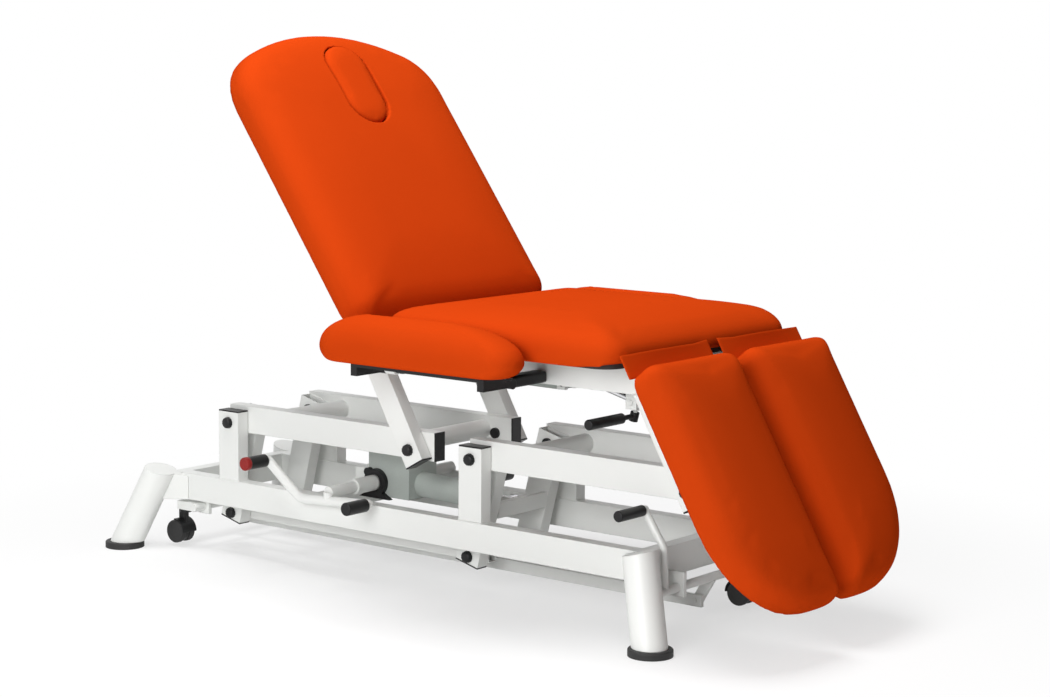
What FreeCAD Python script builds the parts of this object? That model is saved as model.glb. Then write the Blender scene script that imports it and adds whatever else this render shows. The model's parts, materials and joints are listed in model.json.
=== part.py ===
"""Height-adjustable treatment chair on a welded tube base.

Two pairs of parallel arms carry the seat frame and are driven by a pedal-pumped hydraulic ram.
The backrest, the two leg rests, the armrests, the face-hole plug and the retractable castors move.
Millimetres, +Z up, +X towards the foot end, -Y is the pedal side; the floor is z = 0.
"""
import math
import os

import FreeCAD
import Part

V = FreeCAD.Vector

# Place of the base along the chair: its middle, measured from the middle of the whole chair
BASE_MID_X = -116.3

# Frame tube
TUBE_H = 60.0
TUBE_W = 30.0
TUBE_WALL = 2.0
CAP_T = 3.0

# Base frame, its rails running on past the posts at each end
RAIL_HEAD = 149.0
RAIL_FOOT = 409.0
BASE_WIDTH = 346.0
RAIL_BOTTOM_Z = 111.0
LEG_R = 35.0
LEG_WALL = 3.0
LEG_LEAN_DEG = 25.0
LEG_TOP_Z = 178.0
LEG_TOP_TILT_DEG = 15.0
FOOT_REACH = 103.0
FOOT_OUT = 83.0
BOOT_R = 43.5
BOOT_H = 14.0
BOOT_EDGE = 3.0
GUSSET_T = 24.0

# Lift posts and the parallel arms
POST_TOP_Z = 327.0
PIVOT_Z = 300.0
ARM_LENGTH = 530.0
ARM_RISE = 6.0
ARM_TAIL = 27.0
ARM_NOSE = 46.0
ARM_SPACE = 93.0
ARM_GAP = 2.0
ARM_CROSS_R = 20.0
ARM_CROSS_IN = 78.0
ARM_CROSS_SHORT = 34.0
PIN_R = 8.0
PIN_CLEARANCE = 0.05
COVER_R = 11.5
COVER_H = 8.0
NUT_H = 6.0

# Levers under the arms and the bars that tie them together
LEVER_SLANT_DEG = 14.5
LEVER_TOP = 24.0
LEVER_PIN_DROP = 219.0
LEVER_FOOT = 17.0
TIE_H = 30.0
TIE_W = 25.0
TIE_END = 30.0
TIE_GAP = 1.5

# Hydraulic ram
RAM_PIN_DROP = 120.0
RAM_PIN_R = 7.0
RAM_RUN = 414.0
RAM_ANCHOR_Z = 195.0
PUMP_START = 20.0
PUMP_LENGTH = 116.0
PUMP_WIDTH = 90.0
PUMP_Z0 = 160.0
PUMP_HEIGHT = 102.0
PUMP_EDGE = 10.0
CYLINDER_R = 27.0
CYLINDER_BORE_R = 21.0
CYLINDER_LENGTH = 186.0
RAM_ROD_R = 13.0
RAM_ROD_LENGTH = 228.0
RAM_EYE_R = 16.0
RAM_EYE_W = 28.0
CHEEK_T = 8.0
BRACKET_T = 14.0
BARREL_FLOOR = 6.0
ANCHOR_BEAM_GAP = 10.0
ANCHOR_BEAM_H = 40.0
PLUG_DEPTH = 12.0

# Pump pedal
PEDAL_START = 46.0
PEDAL_Z = 190.0
PEDAL_SHAFT_R = 12.0
PEDAL_SLEEVE_R = 17.0
PEDAL_SLEEVE_SHORT = 21.0
PEDAL_OUT = 27.0
PEDAL_TUBE_R = 10.5
PEDAL_GRIP_R = 14.0
PEDAL_GRIP_LENGTH = 66.0
PEDAL_END_BACK = (-179.0, 48.0)
PEDAL_ELBOW = (-83.0, -24.0)
PEDAL_END_FRONT = (114.0, -12.0)
PEDAL_BEND_R = 45.0
RING_R = 30.0
RING_T = 12.0
RING_KNOB_R = 9.0
RING_FOOT = 44.0
RING_FOOT_DROP = 4.0
PEDAL_SADDLE_DZ = -20.0
GRIP_PEG_R = 7.0
GRIP_END = 4.0
GRIP_ROUND = 3.0

# Seat frame, placed along the chair from the pivots of the struts
SEAT_RAIL_H = 60.0
SEAT_RAIL_Z = 473.0
SEAT_RAIL_REAR = 132.0
SEAT_RAIL_FRONT = 58.0
STRUT_DEPTH = 50.0
STRUT_LEAN_DEG = 29.5
STRUT_FOOT = 34.0
SEAT_CROSS_H = 30.0
SEAT_CROSS_W = 30.0
SEAT_CROSS_REAR = 278.0
SEAT_CROSS_FRONT = 126.0
BOARD_T = 12.0
BOARD_INSET = 20.0
SEAT_BOARD_REAR = 38.0
SEAT_BOARD_FRONT = 32.0
SEAT_REAR = 22.0
SEAT_FRONT = 10.0
SEAT_WIDTH = 612.0
SEAT_EDGE_H = 54.0
SEAT_CROWN = 24.0
PAD_DRAW = 9.0
SOFT_GAP = 0.3
PAD_BELLY = 0.4
PAD_PLATEAU = 110.0
PAD_STEPS = 5
PAD_LEAST_R = 8.0
SEAT_NOSE = 60.0
SEAT_LIP = 12.0
SEAT_CORNER_R = 40.0

# Backrest
BACK_PIVOT_REAR = 44.4
BACK_PIVOT_Z = 518.9
BACK_ANGLE_DEG = 54.0
BACK_TUBE = 30.0
BACK_TUBE_LENGTH = 520.0
BACK_CROSS_S = (70.0, 440.0)
BACK_S0 = 21.5
BACK_LENGTH = 716.0
BACK_WIDER = 8.0
BACK_EDGE_H = 62.0
BACK_CROWN = 26.0
BACK_SHOULDER_R = 138.0
BACK_ARCH_DEG = 25.0
BACK_LOW_R = 45.0
PLUG_S = 577.5
PLUG_LENGTH = 204.0
PLUG_WIDTH = 120.0
PLUG_PROUD = 6.0
PLUG_GAP = 1.5
PLUG_FLAT = 1.0
PLUG_ROUND = 8.0
PLUG_LEDGE = 12.0
HINGE_PIN_R = 7.0
HINGE_GAP = 1.0
TAIL_LENGTH = 85.0
TAIL_T = 20.0
GAS_ANCHOR_Z = 448.0
GAS_CYL_R = 15.0
GAS_BORE_R = 12.5
GAS_ROD_R = 5.0
GAS_CYL_LENGTH = 160.0
GAS_ROD_LENGTH = 190.0
GAS_EYE_R = 11.0
GAS_PIN_R = 5.0
FORK_GAP = 12.0
FORK_DEPTH = 18.0

# Leg rests
LEG_PIVOT_OUT = 0.6
LEG_PIVOT_Z = 518.4
LEG_ANGLE_DEG = 60.0
LEG_S0 = -6.0
LEG_PAD_LENGTH = 515.0
LEG_PAD_INNER_Y = 12.0
LEG_EDGE_H = 59.0
LEG_CROWN = 24.0
LEG_PLATEAU = 70.0
LEG_TOE_FLAT = 49.0
LEG_HEEL_R = 35.0
LEG_TOP_R = 45.0
LEG_LUG_T = 15.0
LEG_TUBE_LENGTH = 180.0

# Leg rest lock: a bright rod that slides through a pivoting clamp
CLAMP_DX = -128.0
CLAMP_DZ = -76.0
LOCK_ROD_R = 7.0
LOCK_ROD_TAIL = 118.0
LOCK_IN = 36.0
CLAMP_SIZE = 26.0
CLAMP_GAP = 0.3
HANDLE_R = 5.0
HANDLE_GRIP_R = 10.5
HANDLE_LENGTH = 150.0
HANDLE_GRIP_LENGTH = 108.0
HANDLE_DROP = 30.0
HANDLE_HUB_R = 9.0
SCREW_R = 4.0
LUG_HALF = 14.0

# Armrests
ARMREST_REAR = 57.0
ARMREST_LENGTH = 505.0
ARMREST_GAP = 4.0
ARMREST_WIDTH = 98.0
ARMREST_Z = 506.0
ARMREST_EDGE_H = 62.0
ARMREST_CROWN = 38.0
ARMREST_HINGE_IN = 16.0
ARMREST_HINGE_Z = 488.0
ARMREST_PIN_R = 6.0
ARMREST_ARM_REAR = 125.0
ARMREST_ARM_FRONT = 100.0
ARMREST_PLATE_T = 6.0
OUTRIGGER_W = 26.0
OUTRIGGER_H = 16.0
ARMREST_EYE_WALL = 4.0
ARMREST_ARM_W = 16.0
ARMREST_CORNER_R = 48.0
ARMREST_PLATEAU = 36.0

# Retractable castors
HEAD_AXLE_IN = 44.0
FOOT_AXLE_OUT = 58.0
AXLE_Z = 96.0
AXLE_R = 9.0
AXLE_OUT = 11.0
AXLE_LUG_T = 8.0
FOOT_LUG_IN = 43.0
CASTOR_ARM_X = -44.0
CASTOR_IN = 8.0
CASTOR_ARM_W = 26.0
CASTOR_ARM_H = 20.0
CASTOR_LIFT = 8.0
WHEEL_R = 26.0
WHEEL_W = 15.0
CASTOR_TRAIL = 17.0
CASTOR_WEB_T = 9.0
CASTOR_STEM_R = 5.0
CRANK = (-29.0, -49.0)
LINK_H = 24.0
LINK_T = 8.0
CAM_LEVER_IN = 25.0
CAM_LEVER_R = 7.5
CAM_LEVER_KNEE = (-3.0, 84.0)
CAM_LEVER_TOP = (-50.0, 152.0)
CAM_GRIP_R = 11.0
CAM_GRIP_LENGTH = 84.0
CAM_BEND_R = 30.0
CRANK_W = 22.0
LINK_END = 16.0
CASTOR_DISC_R = 13.0
CASTOR_DISC_T = 6.0
CASTOR_HOOD_T = 3.0
CASTOR_PIN_R = 4.0
WHEEL_ROUND = 4.0

# Places worked out from the sizes above
RAIL_TOP_Z = RAIL_BOTTOM_Z + TUBE_H
BASE_HALF_W = BASE_WIDTH / 2.0
POST_SPACING = ARM_TAIL + ARM_LENGTH + ARM_NOSE + ARM_SPACE
RAIL_LENGTH = RAIL_HEAD + POST_SPACING + RAIL_FOOT
RAIL_END = RAIL_LENGTH / 2.0
HEAD_POST_X = RAIL_HEAD - RAIL_END
FOOT_POST_X = HEAD_POST_X + POST_SPACING
FOOT_X = RAIL_END + FOOT_REACH
HEAD_AXLE_X = HEAD_AXLE_IN - RAIL_END
FOOT_AXLE_X = RAIL_END + FOOT_AXLE_OUT
RAM_ANCHOR_X = FOOT_POST_X - RAM_RUN
PUMP_X0 = RAM_ANCHOR_X + PUMP_START
PEDAL_X = RAM_ANCHOR_X + PEDAL_START
POST_IN_Y = BASE_HALF_W - TUBE_W
ARM_OUT_Y = POST_IN_Y - ARM_GAP
ARM_IN_Y = ARM_OUT_Y - TUBE_W
LEVER_IN_Y = ARM_IN_Y - TUBE_W
TIE_OUT_Y = LEVER_IN_Y - TIE_GAP
FOOT_Y = BASE_HALF_W + FOOT_OUT
PEDAL_PLANE_Y = BASE_HALF_W + PEDAL_OUT
PEDAL_SLEEVE_END = POST_IN_Y - PEDAL_SLEEVE_SHORT
AXLE_HALF = BASE_HALF_W + AXLE_OUT
FOOT_LUG_Y = POST_IN_Y - FOOT_LUG_IN
CASTOR_Y = BASE_HALF_W - CASTOR_IN
CAM_LEVER_Y = CAM_LEVER_IN - BASE_HALF_W
HEAD_STRUT_X = HEAD_POST_X + ARM_LENGTH
FOOT_STRUT_X = FOOT_POST_X + ARM_LENGTH
SEAT_RAIL_X0 = HEAD_STRUT_X - SEAT_RAIL_REAR
SEAT_RAIL_X1 = FOOT_STRUT_X - SEAT_RAIL_FRONT
SEAT_CROSS_XS = (HEAD_STRUT_X + SEAT_CROSS_REAR, SEAT_RAIL_X1 - SEAT_CROSS_FRONT)
SEAT_X0 = HEAD_STRUT_X + SEAT_REAR
SEAT_X1 = SEAT_RAIL_X1 - SEAT_FRONT
SEAT_BOARD_X0 = SEAT_X0 + SEAT_BOARD_REAR
SEAT_BOARD_X1 = SEAT_X1 - SEAT_BOARD_FRONT
BACK_PIVOT_X = HEAD_STRUT_X - BACK_PIVOT_REAR
BACK_WIDTH = SEAT_WIDTH + BACK_WIDER
GAS_ANCHOR_X = SEAT_CROSS_XS[0]
LEG_PIVOT_X = SEAT_RAIL_X1 + LEG_PIVOT_OUT
LEG_PAD_OUTER_Y = SEAT_WIDTH / 2.0
LEG_TOE_R = LEG_PAD_OUTER_Y - LEG_PAD_INNER_Y - LEG_HEEL_R - LEG_TOE_FLAT
LEG_TUBE_Y = POST_IN_Y - LEG_LUG_T - HINGE_GAP - BACK_TUBE / 2.0
LOCK_Y = LEG_TUBE_Y - LOCK_IN
ARMREST_X0 = HEAD_STRUT_X - ARMREST_REAR
ARMREST_X1 = ARMREST_X0 + ARMREST_LENGTH
ARMREST_ARM_XS = (ARMREST_X0 + ARMREST_ARM_REAR, ARMREST_X1 - ARMREST_ARM_FRONT)
ARMREST_INNER_Y = BACK_WIDTH / 2.0 + ARMREST_GAP
ARMREST_HINGE_Y = ARMREST_INNER_Y - ARMREST_HINGE_IN
SEAT_TOP_Z = SEAT_RAIL_Z + SEAT_RAIL_H
LEVER_DIR = (-math.sin(math.radians(LEVER_SLANT_DEG)), -math.cos(math.radians(LEVER_SLANT_DEG)))
POSTS = {"head": HEAD_POST_X, "foot": FOOT_POST_X}
SIDES = {"near": -1.0, "far": 1.0}
PIN_HOLE_R = PIN_R + PIN_CLEARANCE


def lever_point(post_x, drop):
    """Point on a lever's middle line, a given height below its pivot."""
    run = drop / -LEVER_DIR[1]
    return V(post_x + LEVER_DIR[0] * run, 0, PIVOT_Z + LEVER_DIR[1] * run)


RAM_PIN = lever_point(FOOT_POST_X, RAM_PIN_DROP)
RAM_ANCHOR = V(RAM_ANCHOR_X, 0, RAM_ANCHOR_Z)
BACK_PIVOT = V(BACK_PIVOT_X, 0, BACK_PIVOT_Z)
LEG_PIVOT = V(LEG_PIVOT_X, 0, LEG_PIVOT_Z)
BACK_U = V(-math.cos(math.radians(BACK_ANGLE_DEG)), 0, math.sin(math.radians(BACK_ANGLE_DEG)))
BACK_N = V(math.sin(math.radians(BACK_ANGLE_DEG)), 0, math.cos(math.radians(BACK_ANGLE_DEG)))
LEG_U = V(math.cos(math.radians(LEG_ANGLE_DEG)), 0, -math.sin(math.radians(LEG_ANGLE_DEG)))
LEG_N = V(math.sin(math.radians(LEG_ANGLE_DEG)), 0, math.cos(math.radians(LEG_ANGLE_DEG)))
GAS_ANCHOR = V(GAS_ANCHOR_X, 0, GAS_ANCHOR_Z)
GAS_TAIL_PIN = BACK_PIVOT - BACK_U * TAIL_LENGTH
CLAMP_PIVOT = LEG_PIVOT + V(CLAMP_DX, 0, CLAMP_DZ)
LOCK_ARM = math.hypot(CLAMP_DX, CLAMP_DZ)
LOCK_PIN = LEG_PIVOT + LEG_U * LOCK_ARM
FRAME_HALF = BACK_TUBE / 2.0
BOARD_FRONT_N = FRAME_HALF + BOARD_T


def box(x0, x1, y0, y1, z0, z1):
    """Block between two corners, in any order along X and Y."""
    return Part.makeBox(abs(x1 - x0), abs(y1 - y0), z1 - z0, V(min(x0, x1), min(y0, y1), z0))


def rod(start, end, radius):
    """Round bar between two points."""
    return Part.makeCylinder(radius, (end - start).Length, start, end - start)


def bar_y(x, z, y0, y1, radius):
    """Round bar along Y."""
    return rod(V(x, min(y0, y1), z), V(x, max(y0, y1), z), radius)


def slanted(start, along, length, y0, y1, depth, shift=0.0):
    """Block that runs from a point along a direction in the XZ plane."""
    angle = math.degrees(math.atan2(along.z, along.x))
    low = min(y0, y1)
    block = Part.makeBox(length, abs(y1 - y0), depth, V(0, low, shift - depth / 2.0))
    block.rotate(V(0, 0, 0), V(0, -1, 0), angle)
    block.translate(V(start.x, 0, start.z))
    return block


def slanted_tube(start, along, length, y0, y1, depth, shift=0.0):
    """Rectangular tube, open at both ends, along a direction in the XZ plane."""
    low, high = min(y0, y1), max(y0, y1)
    outer = slanted(start, along, length, low, high, depth, shift)
    inner = slanted(start - along * CAP_T, along, length + 2 * CAP_T,
                    low + TUBE_WALL, high - TUBE_WALL, depth - 2 * TUBE_WALL, shift)
    return outer.cut(inner)


def pivot_bolt(x, z, side, y_out, y_in, radius):
    """Pivot pin along Y with a domed cover outside and a thin nut inside."""
    pin = bar_y(x, z, side * y_in, side * y_out, radius)
    cover = bar_y(x, z, side * y_out, side * (y_out + COVER_H), COVER_R)
    rim = max(cover.Edges, key=lambda e: abs(e.CenterOfMass.y) - 1000.0 * (len(e.Vertexes) > 1))
    cover = cover.makeFillet(COVER_H * 0.6, [rim])
    nut = bar_y(x, z, side * (y_in - NUT_H), side * y_in, COVER_R)
    return pin.fuse([cover, nut]).removeSplitter()


def hole_y(solid, x, z, y0, y1, radius):
    """The solid with a round hole along Y."""
    return solid.cut(bar_y(x, z, y0, y1, radius))


def pipe(points, radius, bend):
    """Bent round bar through points, with an arc at each inner one."""
    edges = []
    last = points[0]
    for before, corner, after in zip(points, points[1:], points[2:]):
        a = (before - corner).normalize()
        b = (after - corner).normalize()
        half = a.getAngle(b) / 2.0
        set_back = bend / math.tan(half)
        start, end = corner + a * set_back, corner + b * set_back
        middle_way = (a + b).normalize()
        middle = corner + middle_way * (bend / math.sin(half) - bend)
        edges.append(Part.LineSegment(last, start).toShape())
        edges.append(Part.Arc(start, middle, end).toShape())
        last = end
    edges.append(Part.LineSegment(last, points[-1]).toShape())
    path = Part.Wire(edges)
    ring = Part.Wire(Part.makeCircle(radius, points[0], points[1] - points[0]))
    tube = path.makePipeShell([ring], True, False)
    return tube if tube.Volume > 0 else tube.reversed()


class Place:
    """A plane that a pad lies on: its origin, its long direction and its outward normal."""

    def __init__(self, origin, along, normal):
        self.origin = origin
        self.along = along
        self.normal = normal

    def at(self, a, y, height):
        return self.origin + self.along * a + V(0, y, 0) + self.normal * height


FLAT = Place(V(0, 0, 0), V(1, 0, 0), V(0, 0, 1))
BACK_PLACE = Place(BACK_PIVOT, BACK_U, BACK_N)
LEG_PLACE = Place(LEG_PIVOT, LEG_U, LEG_N)


def corner_arc(centre, radius, start_deg, end_deg):
    """Start, middle and end of an arc in a pad's own plane."""
    angles = [math.radians(start_deg + (end_deg - start_deg) * k / 2.0) for k in range(3)]
    return [(centre[0] + radius * math.cos(t), centre[1] + radius * math.sin(t)) for t in angles]


def arcs_to_wire(arcs, place, height):
    """Closed wire of arcs joined by straight lines."""
    spots = [[place.at(a, y, height) for a, y in arc] for arc in arcs]
    edges = []
    for arc, after in zip(spots, spots[1:] + spots[:1]):
        edges.append(Part.Arc(*arc).toShape())
        if (after[0] - arc[2]).Length > 1e-6:
            edges.append(Part.LineSegment(arc[2], after[0]).toShape())
    return Part.Wire(edges)


def rounded_rectangle(a0, a1, y0, y1, radii):
    """Corner arcs of a rectangle; radii from its low corner, anticlockwise."""
    r0, r1, r2, r3 = radii
    return [corner_arc((a0 + r0, y0 + r0), r0, 180, 270),
            corner_arc((a1 - r1, y0 + r1), r1, 270, 360),
            corner_arc((a1 - r2, y1 - r2), r2, 0, 90),
            corner_arc((a0 + r3, y1 - r3), r3, 90, 180)]


def arched_outline(inset):
    """Backrest outline: straight sides, round shoulders and a gently arched top."""
    turn = math.radians(BACK_ARCH_DEG)
    centre_y = BACK_WIDTH / 2.0 - BACK_SHOULDER_R
    top_r = centre_y / math.sin(turn) + BACK_SHOULDER_R
    shoulder_s = BACK_S0 + BACK_LENGTH - top_r + centre_y / math.tan(turn)
    arch_s = shoulder_s - centre_y / math.tan(turn)
    half = BACK_WIDTH / 2.0 - inset
    low_r = BACK_LOW_R - min(inset, BACK_LOW_R - PAD_LEAST_R)
    low_s = BACK_S0 + inset
    round_r = BACK_SHOULDER_R - inset
    return [corner_arc((low_s + low_r, -half + low_r), low_r, 180, 270),
            corner_arc((shoulder_s, -centre_y), round_r, 270, 360 - BACK_ARCH_DEG),
            corner_arc((arch_s, 0), top_r - inset, -BACK_ARCH_DEG, BACK_ARCH_DEG),
            corner_arc((shoulder_s, centre_y), round_r, BACK_ARCH_DEG, 90),
            corner_arc((low_s + low_r, half - low_r), low_r, 90, 180)]


def inset_rectangle(a0, a1, y0, y1, radii, inset, nose=0.0):
    """Rounded rectangle drawn in on all sides, and further at its far end."""
    drawn = [max(r - inset, PAD_LEAST_R) for r in radii]
    return rounded_rectangle(a0 + inset, a1 - inset - nose, y0 + inset, y1 - inset, drawn)


def pad(place, outline, base, edge, crown, plateau, nose=0.0):
    """Cushion: sides drawn in at the base, fullest part way up, crowned on top."""
    steps = [(base, PAD_DRAW, 0.0), (base + PAD_BELLY * edge, 0.0, 0.0)]
    for k in range(PAD_STEPS + 1):
        t = k / PAD_STEPS
        steps.append((base + edge + crown * (1.0 - (1.0 - t) ** 2), PAD_DRAW + (plateau - PAD_DRAW) * t,
                      nose * t))
    wires = [arcs_to_wire(outline(inset, drop), place, height) for height, inset, drop in steps]
    return Part.makeLoft(wires, True, True)


def plate(place, arcs, base, thickness):
    """Flat board with the given outline."""
    face = Part.Face(arcs_to_wire(arcs, place, base))
    return face.extrude(place.normal * thickness)


# Base

def base_rails():
    rails = []
    for side in SIDES.values():
        rail = slanted_tube(V(-RAIL_END, 0, RAIL_BOTTOM_Z + TUBE_H / 2.0), V(1, 0, 0), RAIL_LENGTH,
                            side * POST_IN_Y, side * BASE_HALF_W, TUBE_H)
        rails.append(rail)
    return rails


def end_beam(x0):
    """Cross beam with open ends, its long sides along Y."""
    outer = box(x0, x0 + TUBE_W, -BASE_HALF_W, BASE_HALF_W, RAIL_BOTTOM_Z, RAIL_TOP_Z)
    inner = box(x0 + TUBE_WALL, x0 + TUBE_W - TUBE_WALL, -BASE_HALF_W, BASE_HALF_W,
                RAIL_BOTTOM_Z + TUBE_WALL, RAIL_TOP_Z - TUBE_WALL)
    return outer.cut(inner)


def cross_beams():
    """End beams, and the beam between the rails that anchors the ram."""
    anchor_x = RAM_ANCHOR_X - ANCHOR_BEAM_GAP - TUBE_W
    low = RAIL_TOP_Z - ANCHOR_BEAM_H
    anchor = box(anchor_x, anchor_x + TUBE_W, -POST_IN_Y, POST_IN_Y, low, RAIL_TOP_Z)
    core = box(anchor_x + TUBE_WALL, anchor_x + TUBE_W - TUBE_WALL, -POST_IN_Y, POST_IN_Y,
               low + TUBE_WALL, RAIL_TOP_Z - TUBE_WALL)
    cheek_y = RAM_EYE_W / 2.0 + HINGE_GAP
    solids = [end_beam(-RAIL_END - TUBE_W), end_beam(RAIL_END), anchor.cut(core)]
    for side in SIDES.values():
        cheek = box(anchor_x, RAM_ANCHOR_X + RAM_EYE_R, side * cheek_y, side * (cheek_y + CHEEK_T),
                    RAIL_TOP_Z, RAM_ANCHOR_Z + RAM_EYE_R)
        solids.append(hole_y(cheek, RAM_ANCHOR_X, RAM_ANCHOR_Z, -BASE_WIDTH, BASE_WIDTH, RAM_PIN_R))
    solids.append(bar_y(RAM_ANCHOR_X, RAM_ANCHOR_Z, -cheek_y - CHEEK_T, cheek_y + CHEEK_T, RAM_PIN_R))
    return solids


def axle_lugs():
    """Plates that hold the castor axles: under the rails at the head, on the end beam at the foot."""
    lugs = []
    half = AXLE_R + AXLE_LUG_T
    for side in SIDES.values():
        low = AXLE_Z - half
        head = box(HEAD_AXLE_X - half, HEAD_AXLE_X + half, side * POST_IN_Y,
                   side * (POST_IN_Y + AXLE_LUG_T), low, RAIL_BOTTOM_Z)
        foot = box(RAIL_END + TUBE_W, FOOT_AXLE_X + half, side * FOOT_LUG_Y,
                   side * (FOOT_LUG_Y + AXLE_LUG_T), low, RAIL_BOTTOM_Z + half)
        for lug, x in ((head, HEAD_AXLE_X), (foot, FOOT_AXLE_X)):
            lugs.append(hole_y(lug, x, AXLE_Z, -BASE_WIDTH, BASE_WIDTH, AXLE_R + PIN_CLEARANCE))
    return lugs


def leg_line(end, side):
    """Foot centre and upward direction of a corner leg."""
    foot = V(end * FOOT_X, side * FOOT_Y, 0)
    corner = V(end * RAIL_END, side * BASE_HALF_W, 0)
    lean = math.radians(LEG_LEAN_DEG)
    flat = (corner - foot).normalize()
    return foot, V(flat.x * math.sin(lean), flat.y * math.sin(lean), math.cos(lean))


def corner_legs():
    """Leaning round tubes, closed at the top, with a gusset to the frame's corner."""
    legs = []
    tilt = math.radians(LEG_TOP_TILT_DEG)
    reach = 4.0 * LEG_R
    for end in (-1.0, 1.0):
        for side in SIDES.values():
            foot, up = leg_line(end, side)
            top = foot + up * (LEG_TOP_Z / up.z)
            lid_normal = V(-end * math.sin(tilt), 0, math.cos(tilt))
            outer = rod(foot - up * LEG_R, top + up * reach, LEG_R)
            inner = rod(foot - up * LEG_R, top + up * reach, LEG_R - LEG_WALL)
            flat = V(up.x, up.y, 0).normalize()
            gusset = Part.makeBox(reach, GUSSET_T, TUBE_H, V(0, -GUSSET_T / 2.0, RAIL_BOTTOM_Z))
            gusset.rotate(V(0, 0, 0), V(0, 0, 1), math.degrees(math.atan2(flat.y, flat.x)))
            start = foot + up * (RAIL_BOTTOM_Z / up.z)
            gusset.translate(V(start.x, start.y, 0))
            inside = box(-RAIL_END - TUBE_W, RAIL_END + TUBE_W, -BASE_HALF_W, BASE_HALF_W,
                         RAIL_BOTTOM_Z, RAIL_TOP_Z)
            above = Part.makeBox(reach * 4, reach * 4, reach * 2, V(-reach * 2, -reach * 2, 0))
            above.Placement = FreeCAD.Placement(top, FreeCAD.Rotation(V(0, 0, 1), lid_normal)).multiply(
                above.Placement)
            under_lid = above.translated(lid_normal * -LEG_WALL)
            below = box(-FOOT_X * 2, FOOT_X * 2, -FOOT_X, FOOT_X, -reach, BOOT_H)
            leg = outer.fuse(gusset).cut(inner.cut(under_lid)).cut(above).cut(below).cut(inside)
            legs.append(max(leg.Solids, key=lambda s: s.Volume))
    return legs


def leg_boots():
    """Rubber feet with a rounded rim."""
    boots = []
    for end in (-1.0, 1.0):
        for side in SIDES.values():
            boot = Part.makeCylinder(BOOT_R, BOOT_H, V(end * FOOT_X, side * FOOT_Y, 0))
            rim = [e for e in boot.Edges if abs(e.CenterOfMass.z - BOOT_H) < 1e-6]
            boots.append(boot.makeFillet(BOOT_EDGE, rim))
    return boots


def lift_posts():
    posts = []
    for x in POSTS.values():
        for side in SIDES.values():
            post = slanted_tube(V(x, 0, RAIL_TOP_Z), V(0, 0, 1), POST_TOP_Z - CAP_T - RAIL_TOP_Z,
                                side * POST_IN_Y, side * BASE_HALF_W, TUBE_H)
            posts.append(hole_y(post, x, PIVOT_Z, -BASE_WIDTH, BASE_WIDTH, PIN_HOLE_R))
    return posts


def base_trim():
    """Post caps, pivot bolts and the plugs of the end beams."""
    trim = []
    for x in POSTS.values():
        for side in SIDES.values():
            trim.append(box(x - TUBE_H / 2.0, x + TUBE_H / 2.0, side * POST_IN_Y, side * BASE_HALF_W,
                            POST_TOP_Z - CAP_T, POST_TOP_Z))
            trim.append(pivot_bolt(x, PIVOT_Z, side, BASE_HALF_W, LEVER_IN_Y, PIN_R))
    for x0 in (-RAIL_END - TUBE_W, RAIL_END):
        for side in SIDES.values():
            trim.append(box(x0 + TUBE_WALL, x0 + TUBE_W - TUBE_WALL, side * (BASE_HALF_W - PLUG_DEPTH),
                            side * BASE_HALF_W, RAIL_BOTTOM_Z + TUBE_WALL, RAIL_TOP_Z - TUBE_WALL))
    return trim


# Lift arms

def arm_frame(post_x):
    """A pair of arms, their cross tubes and the two levers under the pivots."""
    solids = []
    strut_x = post_x + ARM_LENGTH
    for side in SIDES.values():
        arm = slanted_tube(V(post_x - ARM_TAIL, 0, PIVOT_Z), V(1, 0, 0),
                           ARM_TAIL + ARM_LENGTH + ARM_NOSE - CAP_T,
                           side * ARM_IN_Y, side * ARM_OUT_Y, TUBE_H, ARM_RISE)
        arm = hole_y(arm, post_x, PIVOT_Z, -BASE_WIDTH, BASE_WIDTH, PIN_HOLE_R)
        solids.append(hole_y(arm, strut_x, PIVOT_Z, -BASE_WIDTH, BASE_WIDTH, PIN_HOLE_R))
        along = V(LEVER_DIR[0], 0, LEVER_DIR[1])
        length = LEVER_TOP + LEVER_PIN_DROP / -LEVER_DIR[1] + LEVER_FOOT - CAP_T
        lever = slanted_tube(V(post_x, 0, PIVOT_Z) - along * LEVER_TOP, along, length,
                             side * LEVER_IN_Y, side * ARM_IN_Y, TUBE_H)
        lever = hole_y(lever, post_x, PIVOT_Z, -BASE_WIDTH, BASE_WIDTH, PIN_HOLE_R)
        foot = lever_point(post_x, LEVER_PIN_DROP)
        solids.append(hole_y(lever, foot.x, foot.z, -BASE_WIDTH, BASE_WIDTH, PIN_HOLE_R))
    for reach, half in ((ARM_CROSS_IN, ARM_IN_Y), (ARM_LENGTH - ARM_CROSS_SHORT, ARM_IN_Y)):
        tube = bar_y(post_x + reach, PIVOT_Z + ARM_RISE, -half, half, ARM_CROSS_R)
        solids.append(tube.cut(bar_y(post_x + reach, PIVOT_Z + ARM_RISE, -half, half,
                                     ARM_CROSS_R - TUBE_WALL)))
    return solids


def arm_trim(post_x):
    """End caps of the arms and levers, and the bolts at the lever feet."""
    trim = []
    along = V(LEVER_DIR[0], 0, LEVER_DIR[1])
    foot = lever_point(post_x, LEVER_PIN_DROP)
    nose_x = post_x + ARM_LENGTH + ARM_NOSE
    for side in SIDES.values():
        trim.append(box(nose_x - CAP_T, nose_x, side * ARM_IN_Y, side * ARM_OUT_Y,
                        PIVOT_Z + ARM_RISE - TUBE_H / 2.0, PIVOT_Z + ARM_RISE + TUBE_H / 2.0))
        trim.append(slanted(foot + along * (LEVER_FOOT - CAP_T), along, CAP_T,
                            side * LEVER_IN_Y, side * ARM_IN_Y, TUBE_H))
        trim.append(pivot_bolt(foot.x, foot.z, side, ARM_IN_Y, TIE_OUT_Y - TIE_W, PIN_R))
    return trim


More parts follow.
